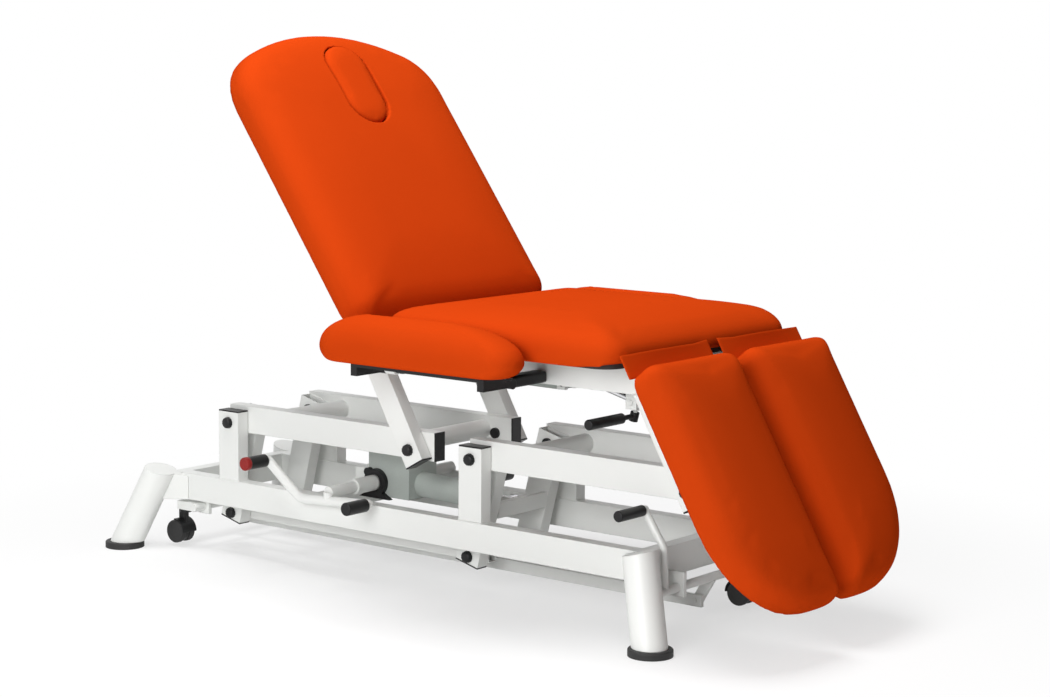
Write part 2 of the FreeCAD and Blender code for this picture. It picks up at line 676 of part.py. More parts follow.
def tie_bars():
    """Bars that join the lever feet of both arm pairs."""
    bars = []
    head = lever_point(HEAD_POST_X, LEVER_PIN_DROP)
    foot = lever_point(FOOT_POST_X, LEVER_PIN_DROP)
    for side in SIDES.values():
        bar = slanted_tube(head - V(TIE_END, 0, 0), V(1, 0, 0), foot.x - head.x + 2 * TIE_END,
                           side * (TIE_OUT_Y - TIE_W), side * TIE_OUT_Y, TIE_H)
        for pin in (head, foot):
            bar = hole_y(bar, pin.x, pin.z, -BASE_WIDTH, BASE_WIDTH, PIN_HOLE_R)
        bars.append(bar)
    return bars


def ram_bracket():
    """Cross bar between the foot levers with two cheeks and the pin for the ram's eye."""
    pin = RAM_PIN
    cheek_y = RAM_EYE_W / 2.0 + HINGE_GAP
    back = RAM_EYE_R + HINGE_GAP
    bar = box(pin.x + back, pin.x + back + BRACKET_T, -LEVER_IN_Y, LEVER_IN_Y,
              pin.z - RAM_EYE_R, pin.z + RAM_EYE_R)
    solids = []
    for side in SIDES.values():
        cheek = box(pin.x - RAM_EYE_R, pin.x + back, side * cheek_y, side * (cheek_y + CHEEK_T),
                    pin.z - RAM_EYE_R, pin.z + RAM_EYE_R)
        solids.append(hole_y(cheek, pin.x, pin.z, -BASE_WIDTH, BASE_WIDTH, RAM_PIN_R))
    solids.append(bar)
    solids.append(bar_y(pin.x, pin.z, -cheek_y - CHEEK_T, cheek_y + CHEEK_T, RAM_PIN_R))
    return solids


# Hydraulic pump, ram and pedal

def pump_block():
    """Cast pump body with its eye at the anchor and a cross bore for the pedal shaft."""
    x1 = PUMP_X0 + PUMP_LENGTH
    block = box(PUMP_X0, x1, -PUMP_WIDTH / 2.0, PUMP_WIDTH / 2.0, PUMP_Z0, PUMP_Z0 + PUMP_HEIGHT)
    tops = [e for e in block.Edges if abs(e.CenterOfMass.z - PUMP_Z0 - PUMP_HEIGHT) < 1e-6
            and abs(e.Length - PUMP_WIDTH) < 1e-6]
    block = block.makeFillet(PUMP_EDGE, tops)
    half = RAM_EYE_W / 2.0
    eye = bar_y(RAM_ANCHOR_X, RAM_ANCHOR_Z, -half, half, RAM_EYE_R)
    neck = box(RAM_ANCHOR_X, PUMP_X0, -half, half, RAM_ANCHOR_Z - RAM_EYE_R, RAM_ANCHOR_Z + RAM_EYE_R)
    block = block.fuse([eye, neck]).removeSplitter()
    block = hole_y(block, RAM_ANCHOR_X, RAM_ANCHOR_Z, -half, half, RAM_PIN_R + PIN_CLEARANCE)
    return hole_y(block, PEDAL_X, PEDAL_Z, -PUMP_WIDTH, PUMP_WIDTH, PEDAL_SHAFT_R + PIN_CLEARANCE)


def ram_line():
    return (RAM_PIN - RAM_ANCHOR).normalize()


def pump_cylinder():
    """Barrel on the pump's front face, pointing at the ram pin."""
    along = ram_line()
    x1 = PUMP_X0 + PUMP_LENGTH
    start = RAM_ANCHOR + along * ((x1 - RAM_ANCHOR_X) / along.x)
    outer = rod(start - along * CYLINDER_R, start + along * CYLINDER_LENGTH, CYLINDER_R)
    outer = outer.cut(box(PUMP_X0, x1, -PUMP_WIDTH, PUMP_WIDTH, 0, PIVOT_Z))
    return outer.cut(rod(start + along * BARREL_FLOOR, start + along * (CYLINDER_LENGTH + CAP_T),
                         CYLINDER_BORE_R))


def piston_rod():
    """Ram rod with an eye on the ram pin; its tail stays inside the barrel."""
    along = ram_line()
    half = RAM_EYE_W / 2.0
    eye = bar_y(RAM_PIN.x, RAM_PIN.z, -half, half, RAM_EYE_R)
    shaft = rod(RAM_PIN - along * RAM_ROD_LENGTH, RAM_PIN, RAM_ROD_R)
    shaft = shaft.fuse(eye).removeSplitter()
    return hole_y(shaft, RAM_PIN.x, RAM_PIN.z, -half, half, RAM_PIN_R + PIN_CLEARANCE)


def pedal_points(side):
    """Bent line of one rocker, from its back end to its front end."""
    y = side * PEDAL_PLANE_Y
    return [V(PEDAL_X + dx, y, PEDAL_Z + dz) for dx, dz in (PEDAL_END_BACK, PEDAL_ELBOW, PEDAL_END_FRONT)]


def pedal_rocker():
    """Cross shaft with a clamped sleeve and a bent rocker tube on each side."""
    pieces = []
    for side in SIDES.values():
        points = pedal_points(side)
        pieces.append(pipe(points, PEDAL_TUBE_R, PEDAL_BEND_R))
        pieces.append(bar_y(PEDAL_X, PEDAL_Z, side * (PUMP_WIDTH / 2.0 + RING_T + HINGE_GAP),
                            side * PEDAL_SLEEVE_END, PEDAL_SLEEVE_R))
        for end in (points[0], points[-1]):
            pieces.append(Part.makeSphere(PEDAL_TUBE_R, end))
            pieces.append(bar_y(end.x, end.z, end.y, end.y + side * PEDAL_GRIP_LENGTH, GRIP_PEG_R))
    shaft = bar_y(PEDAL_X, PEDAL_Z, -PEDAL_PLANE_Y, PEDAL_PLANE_Y, PEDAL_SHAFT_R)
    for side in SIDES.values():
        saddle = V(PEDAL_X, side * PEDAL_PLANE_Y, PEDAL_Z)
        pieces.append(rod(saddle, saddle + V(0, 0, PEDAL_SADDLE_DZ), PEDAL_TUBE_R))
    return shaft.fuse(pieces)


def grip(x, y, z, side, length, radius, peg_r):
    """Moulded grip over a peg along Y, with a domed end."""
    sleeve = bar_y(x, z, y, y + side * (length + GRIP_END), radius)
    far = [e for e in sleeve.Edges if abs(e.CenterOfMass.y - y - side * (length + GRIP_END)) < 1e-6]
    sleeve = sleeve.makeFillet(GRIP_ROUND, far)
    return sleeve.cut(bar_y(x, z, y, y + side * length, peg_r))


def pedal_grips():
    grips = []
    for side in SIDES.values():
        points = pedal_points(side)
        for end in (points[0], points[-1]):
            y = end.y + side * PEDAL_TUBE_R
            grips.append(grip(end.x, y, end.z, side, PEDAL_GRIP_LENGTH - PEDAL_TUBE_R,
                              PEDAL_GRIP_R, GRIP_PEG_R))
    return grips


def pump_ring():
    """Clamp ring round the pedal shaft on the pump's near face, with its knob and its foot."""
    y = -PUMP_WIDTH / 2.0
    ring = bar_y(PEDAL_X, PEDAL_Z, y - RING_T, y, RING_R)
    knob = bar_y(PEDAL_X - RING_R * 0.7, PEDAL_Z + RING_R * 0.7, y - RING_T, y, RING_KNOB_R)
    low = PEDAL_Z - RING_R
    corners = [(-RING_FOOT, low - RING_FOOT_DROP), (RING_FOOT, low - RING_FOOT_DROP),
               (RING_R * 0.5, low + RING_R * 0.4), (-RING_R * 0.5, low + RING_R * 0.4)]
    points = [V(PEDAL_X + dx, y, z) for dx, z in corners]
    foot = Part.Face(Part.makePolygon(points + points[:1])).extrude(V(0, -RING_T, 0))
    ring = ring.fuse([knob, foot]).removeSplitter()
    return hole_y(ring, PEDAL_X, PEDAL_Z, y - RING_T, y, PEDAL_SLEEVE_R + HINGE_GAP)


# Seat frame

def seat_rails():
    rails = []
    for side in SIDES.values():
        rails.append(slanted_tube(V(SEAT_RAIL_X0, 0, SEAT_RAIL_Z + SEAT_RAIL_H / 2.0), V(1, 0, 0),
                                  SEAT_RAIL_X1 - SEAT_RAIL_X0, side * POST_IN_Y, side * BASE_HALF_W,
                                  SEAT_RAIL_H))
        rails[-1] = hole_y(rails[-1], BACK_PIVOT_X, BACK_PIVOT_Z, -BASE_WIDTH, BASE_WIDTH,
                           HINGE_PIN_R + PIN_CLEARANCE)
    return rails


def seat_cross_tubes():
    tubes = []
    z1 = SEAT_RAIL_Z + SEAT_CROSS_H
    for x in SEAT_CROSS_XS:
        x0, x1 = x - SEAT_CROSS_W / 2.0, x + SEAT_CROSS_W / 2.0
        outer = box(x0, x1, -POST_IN_Y, POST_IN_Y, SEAT_RAIL_Z, z1)
        inner = box(x0 + TUBE_WALL, x1 - TUBE_WALL, -POST_IN_Y, POST_IN_Y,
                    SEAT_RAIL_Z + TUBE_WALL, z1 - TUBE_WALL)
        tubes.append(outer.cut(inner))
    return tubes


def lift_struts():
    """Leaning struts welded under the seat rails; their lower ends turn on the arms."""
    struts = []
    lean = math.radians(STRUT_LEAN_DEG)
    along = V(-math.sin(lean), 0, math.cos(lean))
    above = box(-FOOT_X * 2, FOOT_X * 2, -BASE_WIDTH, BASE_WIDTH, SEAT_RAIL_Z, SEAT_RAIL_Z * 2)
    length = (SEAT_RAIL_Z - PIVOT_Z) / along.z + STRUT_DEPTH
    for post_x in POSTS.values():
        pivot = V(post_x + ARM_LENGTH, 0, PIVOT_Z)
        for side in SIDES.values():
            strut = slanted_tube(pivot - along * (STRUT_FOOT - CAP_T), along, length + STRUT_FOOT,
                                 side * POST_IN_Y, side * BASE_HALF_W, STRUT_DEPTH).cut(above)
            struts.append(hole_y(strut, pivot.x, PIVOT_Z, -BASE_WIDTH, BASE_WIDTH, PIN_HOLE_R))
    return struts


def seat_brackets():
    """Lugs of the leg hinges, the gas spring and the rod clamps, and the armrest outriggers."""
    solids = []
    for side in SIDES.values():
        y0 = side * (LEG_TUBE_Y + BACK_TUBE / 2.0 + HINGE_GAP)
        lug = box(LEG_PIVOT_X - LUG_HALF, LEG_PIVOT_X + LUG_HALF, y0, side * POST_IN_Y,
                  SEAT_RAIL_Z, LEG_PIVOT_Z)
        lug = lug.fuse(bar_y(LEG_PIVOT_X, LEG_PIVOT_Z, y0, side * POST_IN_Y, LUG_HALF)).removeSplitter()
        solids.append(hole_y(lug, LEG_PIVOT_X, LEG_PIVOT_Z, -BASE_WIDTH, BASE_WIDTH, HINGE_PIN_R))
        gas_y = GAS_EYE_R + HINGE_GAP
        ear = box(GAS_ANCHOR_X - GAS_EYE_R, GAS_ANCHOR_X + GAS_EYE_R, side * gas_y,
                  side * (gas_y + CHEEK_T), GAS_ANCHOR_Z - GAS_EYE_R, SEAT_RAIL_Z)
        solids.append(hole_y(ear, GAS_ANCHOR_X, GAS_ANCHOR_Z, -BASE_WIDTH, BASE_WIDTH, GAS_PIN_R))
        plate_y = LOCK_Y + CLAMP_SIZE / 2.0 + HINGE_GAP
        ear = box(CLAMP_PIVOT.x - CLAMP_SIZE / 2.0, CLAMP_PIVOT.x + CLAMP_SIZE / 2.0, side * plate_y,
                  side * (plate_y + CHEEK_T), CLAMP_PIVOT.z - CLAMP_SIZE / 2.0, SEAT_RAIL_Z)
        solids.append(hole_y(ear, CLAMP_PIVOT.x, CLAMP_PIVOT.z, -BASE_WIDTH, BASE_WIDTH,
                             GAS_PIN_R + PIN_CLEARANCE))
        for x in ARMREST_ARM_XS:
            solids.append(outrigger(x, side))
    return solids


def outrigger(x, side):
    """Bar from a seat rail out to an armrest hinge, ending in an eye along X."""
    half = OUTRIGGER_W / 2.0
    bar = box(x - half, x + half, side * BASE_HALF_W, side * ARMREST_HINGE_Y,
              ARMREST_HINGE_Z - OUTRIGGER_H / 2.0, ARMREST_HINGE_Z + OUTRIGGER_H / 2.0)
    centre = V(x, side * ARMREST_HINGE_Y, ARMREST_HINGE_Z)
    eye = rod(centre - V(half, 0, 0), centre + V(half, 0, 0), ARMREST_PIN_R + ARMREST_EYE_WALL)
    bar = bar.fuse(eye).removeSplitter()
    return bar.cut(rod(centre - V(half, 0, 0), centre + V(half, 0, 0), ARMREST_PIN_R + PIN_CLEARANCE))


def seat_trim():
    """Strut bolts and caps, the hinge bolts and the gas spring's pin."""
    trim = []
    lean = math.radians(STRUT_LEAN_DEG)
    along = V(-math.sin(lean), 0, math.cos(lean))
    for side in SIDES.values():
        for post_x in POSTS.values():
            x = post_x + ARM_LENGTH
            trim.append(pivot_bolt(x, PIVOT_Z, side, BASE_HALF_W, ARM_IN_Y, PIN_R))
            trim.append(slanted(V(x, 0, PIVOT_Z) - along * STRUT_FOOT, along, CAP_T,
                                side * POST_IN_Y, side * BASE_HALF_W, STRUT_DEPTH))
        trim.append(pivot_bolt(BACK_PIVOT_X, BACK_PIVOT_Z, side, BASE_HALF_W, ARM_IN_Y, HINGE_PIN_R))
        leg_in = LEG_TUBE_Y - BACK_TUBE / 2.0
        pin = bar_y(LEG_PIVOT_X, LEG_PIVOT_Z, side * leg_in, side * POST_IN_Y, HINGE_PIN_R)
        trim.append(pin.fuse(bar_y(LEG_PIVOT_X, LEG_PIVOT_Z, side * (leg_in - NUT_H), side * leg_in,
                                   COVER_R)).removeSplitter())
    gas_y = GAS_EYE_R + HINGE_GAP + CHEEK_T
    trim.append(bar_y(GAS_ANCHOR_X, GAS_ANCHOR_Z, -gas_y, gas_y, GAS_PIN_R))
    return trim


def seat_outline(inset, nose):
    half = SEAT_WIDTH / 2.0
    return inset_rectangle(SEAT_X0, SEAT_X1, -half, half, (SEAT_CORNER_R,) * 4, inset, nose)


def seat_board():
    half = SEAT_WIDTH / 2.0 - BOARD_INSET
    arcs = rounded_rectangle(SEAT_BOARD_X0, SEAT_BOARD_X1, -half, half, (SEAT_CORNER_R,) * 4)
    return plate(FLAT, arcs, SEAT_TOP_Z, BOARD_T)


def seat_cushion():
    """Seat pad wrapped round its board, stepped up at the front to clear the leg hinges."""
    body = pad(FLAT, seat_outline, SEAT_TOP_Z, SEAT_EDGE_H, SEAT_CROWN, PAD_PLATEAU, SEAT_NOSE)
    step = box(SEAT_BOARD_X1, SEAT_X1 + BASE_WIDTH, -SEAT_WIDTH, SEAT_WIDTH,
               SEAT_TOP_Z, SEAT_TOP_Z + SEAT_LIP)
    return body.cut(seat_board()).cut(step)


# Backrest

def back_frame():
    """Two tubes with cross tubes, and the tail that the gas spring pushes."""
    solids = []
    for side in SIDES.values():
        tube = slanted_tube(BACK_PIVOT - BACK_U * FRAME_HALF, BACK_U, BACK_TUBE_LENGTH,
                            side * ARM_IN_Y, side * ARM_OUT_Y, BACK_TUBE)
        solids.append(hole_y(tube, BACK_PIVOT_X, BACK_PIVOT_Z, -BASE_WIDTH, BASE_WIDTH,
                             HINGE_PIN_R + PIN_CLEARANCE))
    for s in BACK_CROSS_S:
        start = BACK_PIVOT + BACK_U * (s - FRAME_HALF)
        core = slanted(start + BACK_U * TUBE_WALL, BACK_U, BACK_TUBE - 2 * TUBE_WALL, -ARM_IN_Y, ARM_IN_Y,
                       BACK_TUBE - 2 * TUBE_WALL)
        solids.append(slanted(start, BACK_U, BACK_TUBE, -ARM_IN_Y, ARM_IN_Y, BACK_TUBE).cut(core))
    reach = TAIL_LENGTH + BACK_CROSS_S[0] - FRAME_HALF
    tail = slanted(GAS_TAIL_PIN, BACK_U, reach, -TAIL_T / 2.0, TAIL_T / 2.0, 2 * GAS_EYE_R)
    tail = tail.fuse(bar_y(GAS_TAIL_PIN.x, GAS_TAIL_PIN.z, -TAIL_T / 2.0, TAIL_T / 2.0, GAS_EYE_R))
    fork = slanted(GAS_TAIL_PIN - BACK_U * 2 * GAS_EYE_R, BACK_U, FORK_DEPTH + 2 * GAS_EYE_R,
                   -FORK_GAP / 2.0, FORK_GAP / 2.0, 4 * GAS_EYE_R)
    solids.append(tail.removeSplitter().cut(fork))
    solids[-1] = hole_y(solids[-1], GAS_TAIL_PIN.x, GAS_TAIL_PIN.z, -TAIL_T, TAIL_T, GAS_PIN_R)
    solids.append(bar_y(GAS_TAIL_PIN.x, GAS_TAIL_PIN.z, -TAIL_T / 2.0, TAIL_T / 2.0, GAS_PIN_R))
    return solids


def back_blank():
    return plate(BACK_PLACE, arched_outline(BOARD_INSET), FRAME_HALF, BOARD_T)


def back_board():
    """Board inside the back pad, with a face opening narrower than the plug."""
    return back_blank().cut(plate(BACK_PLACE, plug_arcs(-PLUG_LEDGE), 0.0, BOARD_FRONT_N))


def plug_arcs(grow):
    """Slot-shaped outline of the face hole."""
    half_l, half_w = PLUG_LENGTH / 2.0 + grow, PLUG_WIDTH / 2.0 + grow
    return rounded_rectangle(PLUG_S - half_l, PLUG_S + half_l, -half_w, half_w,
                             (half_w - PLUG_FLAT,) * 4)


def back_cushion():
    """Back pad wrapped round its board, with the hole for the face plug."""
    body = pad(BACK_PLACE, lambda inset, nose: arched_outline(inset), FRAME_HALF, BACK_EDGE_H, BACK_CROWN,
               PAD_PLATEAU)
    hole = plate(BACK_PLACE, plug_arcs(PLUG_GAP), BOARD_FRONT_N, 2 * BACK_EDGE_H)
    return body.cut(back_blank()).cut(hole)


def face_plug():
    """Removable plug that fills the face hole and stands a little proud."""
    depth = BACK_EDGE_H + BACK_CROWN - BOARD_T + PLUG_PROUD
    base = BOARD_FRONT_N + SOFT_GAP
    body = plate(BACK_PLACE, plug_arcs(0.0), base, depth - PLUG_ROUND)
    lid_low = arcs_to_wire(plug_arcs(0.0), BACK_PLACE, base + depth - PLUG_ROUND)
    lid_high = arcs_to_wire(plug_arcs(-PLUG_ROUND), BACK_PLACE, base + depth)
    return body.fuse(Part.makeLoft([lid_low, lid_high], True, True)).removeSplitter()


def gas_line():
    return (GAS_TAIL_PIN - GAS_ANCHOR).normalize()


def gas_cylinder():
    along = gas_line()
    start = GAS_ANCHOR + along * (GAS_EYE_R * 1.6)
    barrel = rod(start, GAS_ANCHOR + along * GAS_CYL_LENGTH, GAS_CYL_R)
    neck = rod(GAS_ANCHOR, start, GAS_EYE_R * 0.7)
    eye = bar_y(GAS_ANCHOR_X, GAS_ANCHOR_Z, -GAS_EYE_R, GAS_EYE_R, GAS_EYE_R)
    barrel = barrel.fuse([neck, eye]).removeSplitter()
    barrel = barrel.cut(rod(start + along * (GAS_CYL_R - GAS_BORE_R),
                            GAS_ANCHOR + along * (GAS_CYL_LENGTH + CAP_T), GAS_BORE_R))
    return hole_y(barrel, GAS_ANCHOR_X, GAS_ANCHOR_Z, -BASE_WIDTH, BASE_WIDTH, GAS_PIN_R + PIN_CLEARANCE)


def gas_rod():
    along = gas_line()
    half = FORK_GAP / 2.0 - HINGE_GAP
    eye = bar_y(GAS_TAIL_PIN.x, GAS_TAIL_PIN.z, -half, half, GAS_EYE_R)
    shaft = rod(GAS_TAIL_PIN - along * GAS_ROD_LENGTH, GAS_TAIL_PIN, GAS_ROD_R).fuse(eye)
    return hole_y(shaft.removeSplitter(), GAS_TAIL_PIN.x, GAS_TAIL_PIN.z, -half, half,
                  GAS_PIN_R + PIN_CLEARANCE)


# Leg rests

def leg_arcs(side, inset):
    """Leg pad outline: large radius at the outer toe, smaller ones elsewhere."""
    radii = [LEG_TOP_R, LEG_HEEL_R, LEG_TOE_R, LEG_TOP_R]
    y0, y1 = LEG_PAD_INNER_Y, LEG_PAD_OUTER_Y
    if side < 0:
        y0, y1 = -y1, -y0
        radii = [LEG_TOP_R, LEG_TOE_R, LEG_HEEL_R, LEG_TOP_R]
    return inset_rectangle(LEG_S0, LEG_S0 + LEG_PAD_LENGTH, y0, y1, radii, inset)


def leg_frame(side):
    """Tube behind a leg rest, from its hinge, with the pin of the lock rod."""
    y0, y1 = side * (LEG_TUBE_Y - FRAME_HALF), side * (LEG_TUBE_Y + FRAME_HALF)
    tube = slanted_tube(LEG_PIVOT - LEG_U * FRAME_HALF, LEG_U, LEG_TUBE_LENGTH, y0, y1, BACK_TUBE)
    tube = hole_y(tube, LEG_PIVOT_X, LEG_PIVOT_Z, y0, y1, HINGE_PIN_R + PIN_CLEARANCE)
    pin = bar_y(LOCK_PIN.x, LOCK_PIN.z, side * (LOCK_Y - CLAMP_SIZE / 2.0), y0, GAS_PIN_R)
    return [tube, pin]


def leg_board(side):
    return plate(LEG_PLACE, leg_arcs(side, BOARD_INSET), FRAME_HALF, BOARD_T)


def leg_cushion(side):
    """Leg pad wrapped round its board."""
    body = pad(LEG_PLACE, lambda inset, nose: leg_arcs(side, inset), FRAME_HALF, LEG_EDGE_H, LEG_CROWN,
               LEG_PLATEAU)
    return body.cut(leg_board(side))


def lock_line():
    return (CLAMP_PIVOT - LOCK_PIN).normalize()


def lock_rod(side):
    """Bright rod from the leg tube's pin through the clamp."""
    along = lock_line()
    y = V(0, side * LOCK_Y, 0)
    half = CLAMP_SIZE / 2.0
    eye = bar_y(LOCK_PIN.x, LOCK_PIN.z, side * (LOCK_Y - half), side * (LOCK_Y + half), GAS_EYE_R)
    shaft = rod(LOCK_PIN + y, CLAMP_PIVOT + y + along * LOCK_ROD_TAIL, LOCK_ROD_R).fuse(eye)
    return hole_y(shaft.removeSplitter(), LOCK_PIN.x, LOCK_PIN.z, -BASE_WIDTH, BASE_WIDTH,
                  GAS_PIN_R + PIN_CLEARANCE)


def rod_clamp(side):
    """Block round the lock rod with its pivot pin and clamping screw."""
    along = lock_line()
    half = CLAMP_SIZE / 2.0
    centre = CLAMP_PIVOT + V(0, side * LOCK_Y, 0)
    block = slanted(CLAMP_PIVOT - along * half, along, CLAMP_SIZE, side * (LOCK_Y - half),
                    side * (LOCK_Y + half), CLAMP_SIZE)
    plate_y = LOCK_Y + half + HINGE_GAP + CHEEK_T
    pin = bar_y(CLAMP_PIVOT.x, CLAMP_PIVOT.z, side * LOCK_Y, side * (plate_y + HINGE_GAP), GAS_PIN_R)
    screw = rod(centre, centre + clamp_screw_line() * (HANDLE_DROP + HANDLE_R), SCREW_R)
    block = block.fuse([pin, screw]).removeSplitter()
    return block.cut(rod(centre - along * CLAMP_SIZE, centre + along * CLAMP_SIZE, LOCK_ROD_R + CLAMP_GAP))


def clamp_screw_line():
    """Downward direction of the clamp's screw, square to the rod."""
    along = lock_line()
    return V(-along.z, 0, along.x)


def clamp_handle(side):
    """Lever on the clamp's screw with a moulded grip, pointing to its own side."""
    down = clamp_screw_line()
    centre = CLAMP_PIVOT + V(0, side * LOCK_Y, 0) + down * HANDLE_DROP
    hub = rod(centre - down * (1.6 * HANDLE_R), centre + down * (2 * HANDLE_R), HANDLE_HUB_R)
    tip = centre + V(0, side * HANDLE_LENGTH, 0)
    shank = bar_y(centre.x, centre.z, centre.y + side * (SCREW_R + CHEEK_T) / 2.0, tip.y, HANDLE_R)
    sleeve = bar_y(centre.x, centre.z, tip.y - side * HANDLE_GRIP_LENGTH, tip.y, HANDLE_GRIP_R)
    far = [e for e in sleeve.Edges if abs(e.CenterOfMass.y - tip.y) < 1e-6]
    sleeve = sleeve.makeFillet(GRIP_ROUND, far)
    lever = hub.fuse([shank, sleeve]).removeSplitter()
    return lever.cut(rod(centre - down * CLAMP_SIZE, centre + down * (HANDLE_R + CLAMP_GAP),
                         SCREW_R + PIN_CLEARANCE))


# Armrests

def armrest_arcs(side, inset):
    y0, y1 = ARMREST_INNER_Y, ARMREST_INNER_Y + ARMREST_WIDTH
    if side < 0:
        y0, y1 = -y1, -y0
    return inset_rectangle(ARMREST_X0, ARMREST_X1, y0, y1, (ARMREST_CORNER_R,) * 4, inset)


def armrest_pad(side):
    return pad(FLAT, lambda inset, nose: armrest_arcs(side, inset), ARMREST_Z, ARMREST_EDGE_H,
               ARMREST_CROWN, ARMREST_PLATEAU)


def armrest_bracket(side):
    """Plate under an armrest pad with two arms down to the hinge pin."""
    x0, x1 = ARMREST_ARM_XS
    half = OUTRIGGER_W / 2.0 + HINGE_GAP
    y_in, y_out = side * (ARMREST_INNER_Y + PAD_DRAW), side * (ARMREST_INNER_Y + ARMREST_WIDTH * 0.75)
    under = box(x0 - half - ARMREST_ARM_W, x1 + half + ARMREST_ARM_W, y_in, y_out,
                ARMREST_Z - ARMREST_PLATE_T, ARMREST_Z)
    pin = rod(V(x0 - half - ARMREST_ARM_W, side * ARMREST_HINGE_Y, ARMREST_HINGE_Z),
              V(x1 + half + ARMREST_ARM_W, side * ARMREST_HINGE_Y, ARMREST_HINGE_Z), ARMREST_PIN_R)
    arms = []
    for x in (x0 - half - ARMREST_ARM_W, x1 + half):
        knuckle = rod(V(x, side * ARMREST_HINGE_Y, ARMREST_HINGE_Z),
                      V(x + ARMREST_ARM_W, side * ARMREST_HINGE_Y, ARMREST_HINGE_Z),
                      ARMREST_PIN_R + ARMREST_EYE_WALL)
        arm = box(x, x + ARMREST_ARM_W, side * ARMREST_HINGE_Y, y_out,
                  ARMREST_HINGE_Z - ARMREST_PIN_R, ARMREST_HINGE_Z + ARMREST_PIN_R)
        riser = box(x, x + ARMREST_ARM_W, y_in, y_out, ARMREST_HINGE_Z, ARMREST_Z - ARMREST_PLATE_T)
        arms += [knuckle, arm, riser]
    return under.fuse([pin] + arms).removeSplitter()


# Castors

def castor_place(axle_x, side):
    """Swivel axis of a castor: its top, at the underside of the axle arm."""
    return V(axle_x + CASTOR_ARM_X, side * CASTOR_Y, AXLE_Z - CASTOR_ARM_H / 2.0)


def castor_hub(axle_x, side):
    """Middle of a castor's twin wheels; each pair trails towards its own end."""
    top = castor_place(axle_x, side)
    return V(top.x + math.copysign(CASTOR_TRAIL, axle_x), top.y, CASTOR_LIFT + WHEEL_R)


def castor_axle(axle_x):
    """Round axle with a flat arm over each castor and a crank for the link bar."""
    pieces = []
    for side in SIDES.values():
        y0, y1 = side * (CASTOR_Y - CASTOR_ARM_W / 2.0), side * (CASTOR_Y + CASTOR_ARM_W / 2.0)
        top = castor_place(axle_x, side)
        pieces.append(box(axle_x + CASTOR_ARM_X - CASTOR_ARM_W / 2.0, axle_x, y0, y1,
                          AXLE_Z - CASTOR_ARM_H / 2.0, AXLE_Z + AXLE_R))
        pieces[-1] = pieces[-1].cut(rod(top, top + V(0, 0, CASTOR_ARM_H * 0.75),
                                        CASTOR_STEM_R + PIN_CLEARANCE))
    along = V(CRANK[0], 0, CRANK[1])
    length = along.Length
    along.normalize()
    centre = V(axle_x, 0, AXLE_Z)
    end = V(axle_x + CRANK[0], 0, AXLE_Z + CRANK[1])
    y0, y1 = LINK_T / 2.0 + HINGE_GAP, LINK_T * 1.5 + HINGE_GAP
    crank = slanted(centre, along, length, y0, y1, CRANK_W)
    crank = crank.fuse(bar_y(end.x, end.z, y0, y1, CRANK_W / 2.0))
    pin = bar_y(end.x, end.z, -LINK_T / 2.0 - HINGE_GAP, y1, GAS_PIN_R)
    axle = bar_y(axle_x, AXLE_Z, -AXLE_HALF, AXLE_HALF, AXLE_R)
    return axle.fuse(pieces + [crank, pin]).removeSplitter()


def cam_points():
    return [V(FOOT_AXLE_X + dx, CAM_LEVER_Y, AXLE_Z + dz)
            for dx, dz in ((0.0, 0.0), CAM_LEVER_KNEE, CAM_LEVER_TOP)]


def foot_axle():
    """Foot castor axle with the bent hand lever welded to it."""
    points = cam_points()
    lever = pipe(points, CAM_LEVER_R, CAM_BEND_R)
    peg = bar_y(points[-1].x, points[-1].z, CAM_LEVER_Y, CAM_LEVER_Y - CAM_GRIP_LENGTH, GRIP_PEG_R)
    knuckle = Part.makeSphere(CAM_LEVER_R * 1.2, points[-1])
    return castor_axle(FOOT_AXLE_X).fuse(lever.fuse(knuckle).fuse(peg))


def cam_grip():
    top = cam_points()[-1]
    start = CAM_LEVER_R * 1.2
    return grip(top.x, CAM_LEVER_Y - start, top.z, -1.0, CAM_GRIP_LENGTH - start, CAM_GRIP_R, GRIP_PEG_R)


def link_bar():
    """Flat bar that ties the cranks of both castor axles."""
    z = AXLE_Z + CRANK[1]
    head, foot = HEAD_AXLE_X + CRANK[0], FOOT_AXLE_X + CRANK[0]
    bar = box(head - LINK_END, foot + LINK_END, -LINK_T / 2.0, LINK_T / 2.0,
              z - LINK_H / 2.0, z + LINK_H / 2.0)
    for x in (head, foot):
        bar = hole_y(bar, x, z, -LINK_T, LINK_T, GAS_PIN_R + PIN_CLEARANCE)
    return bar


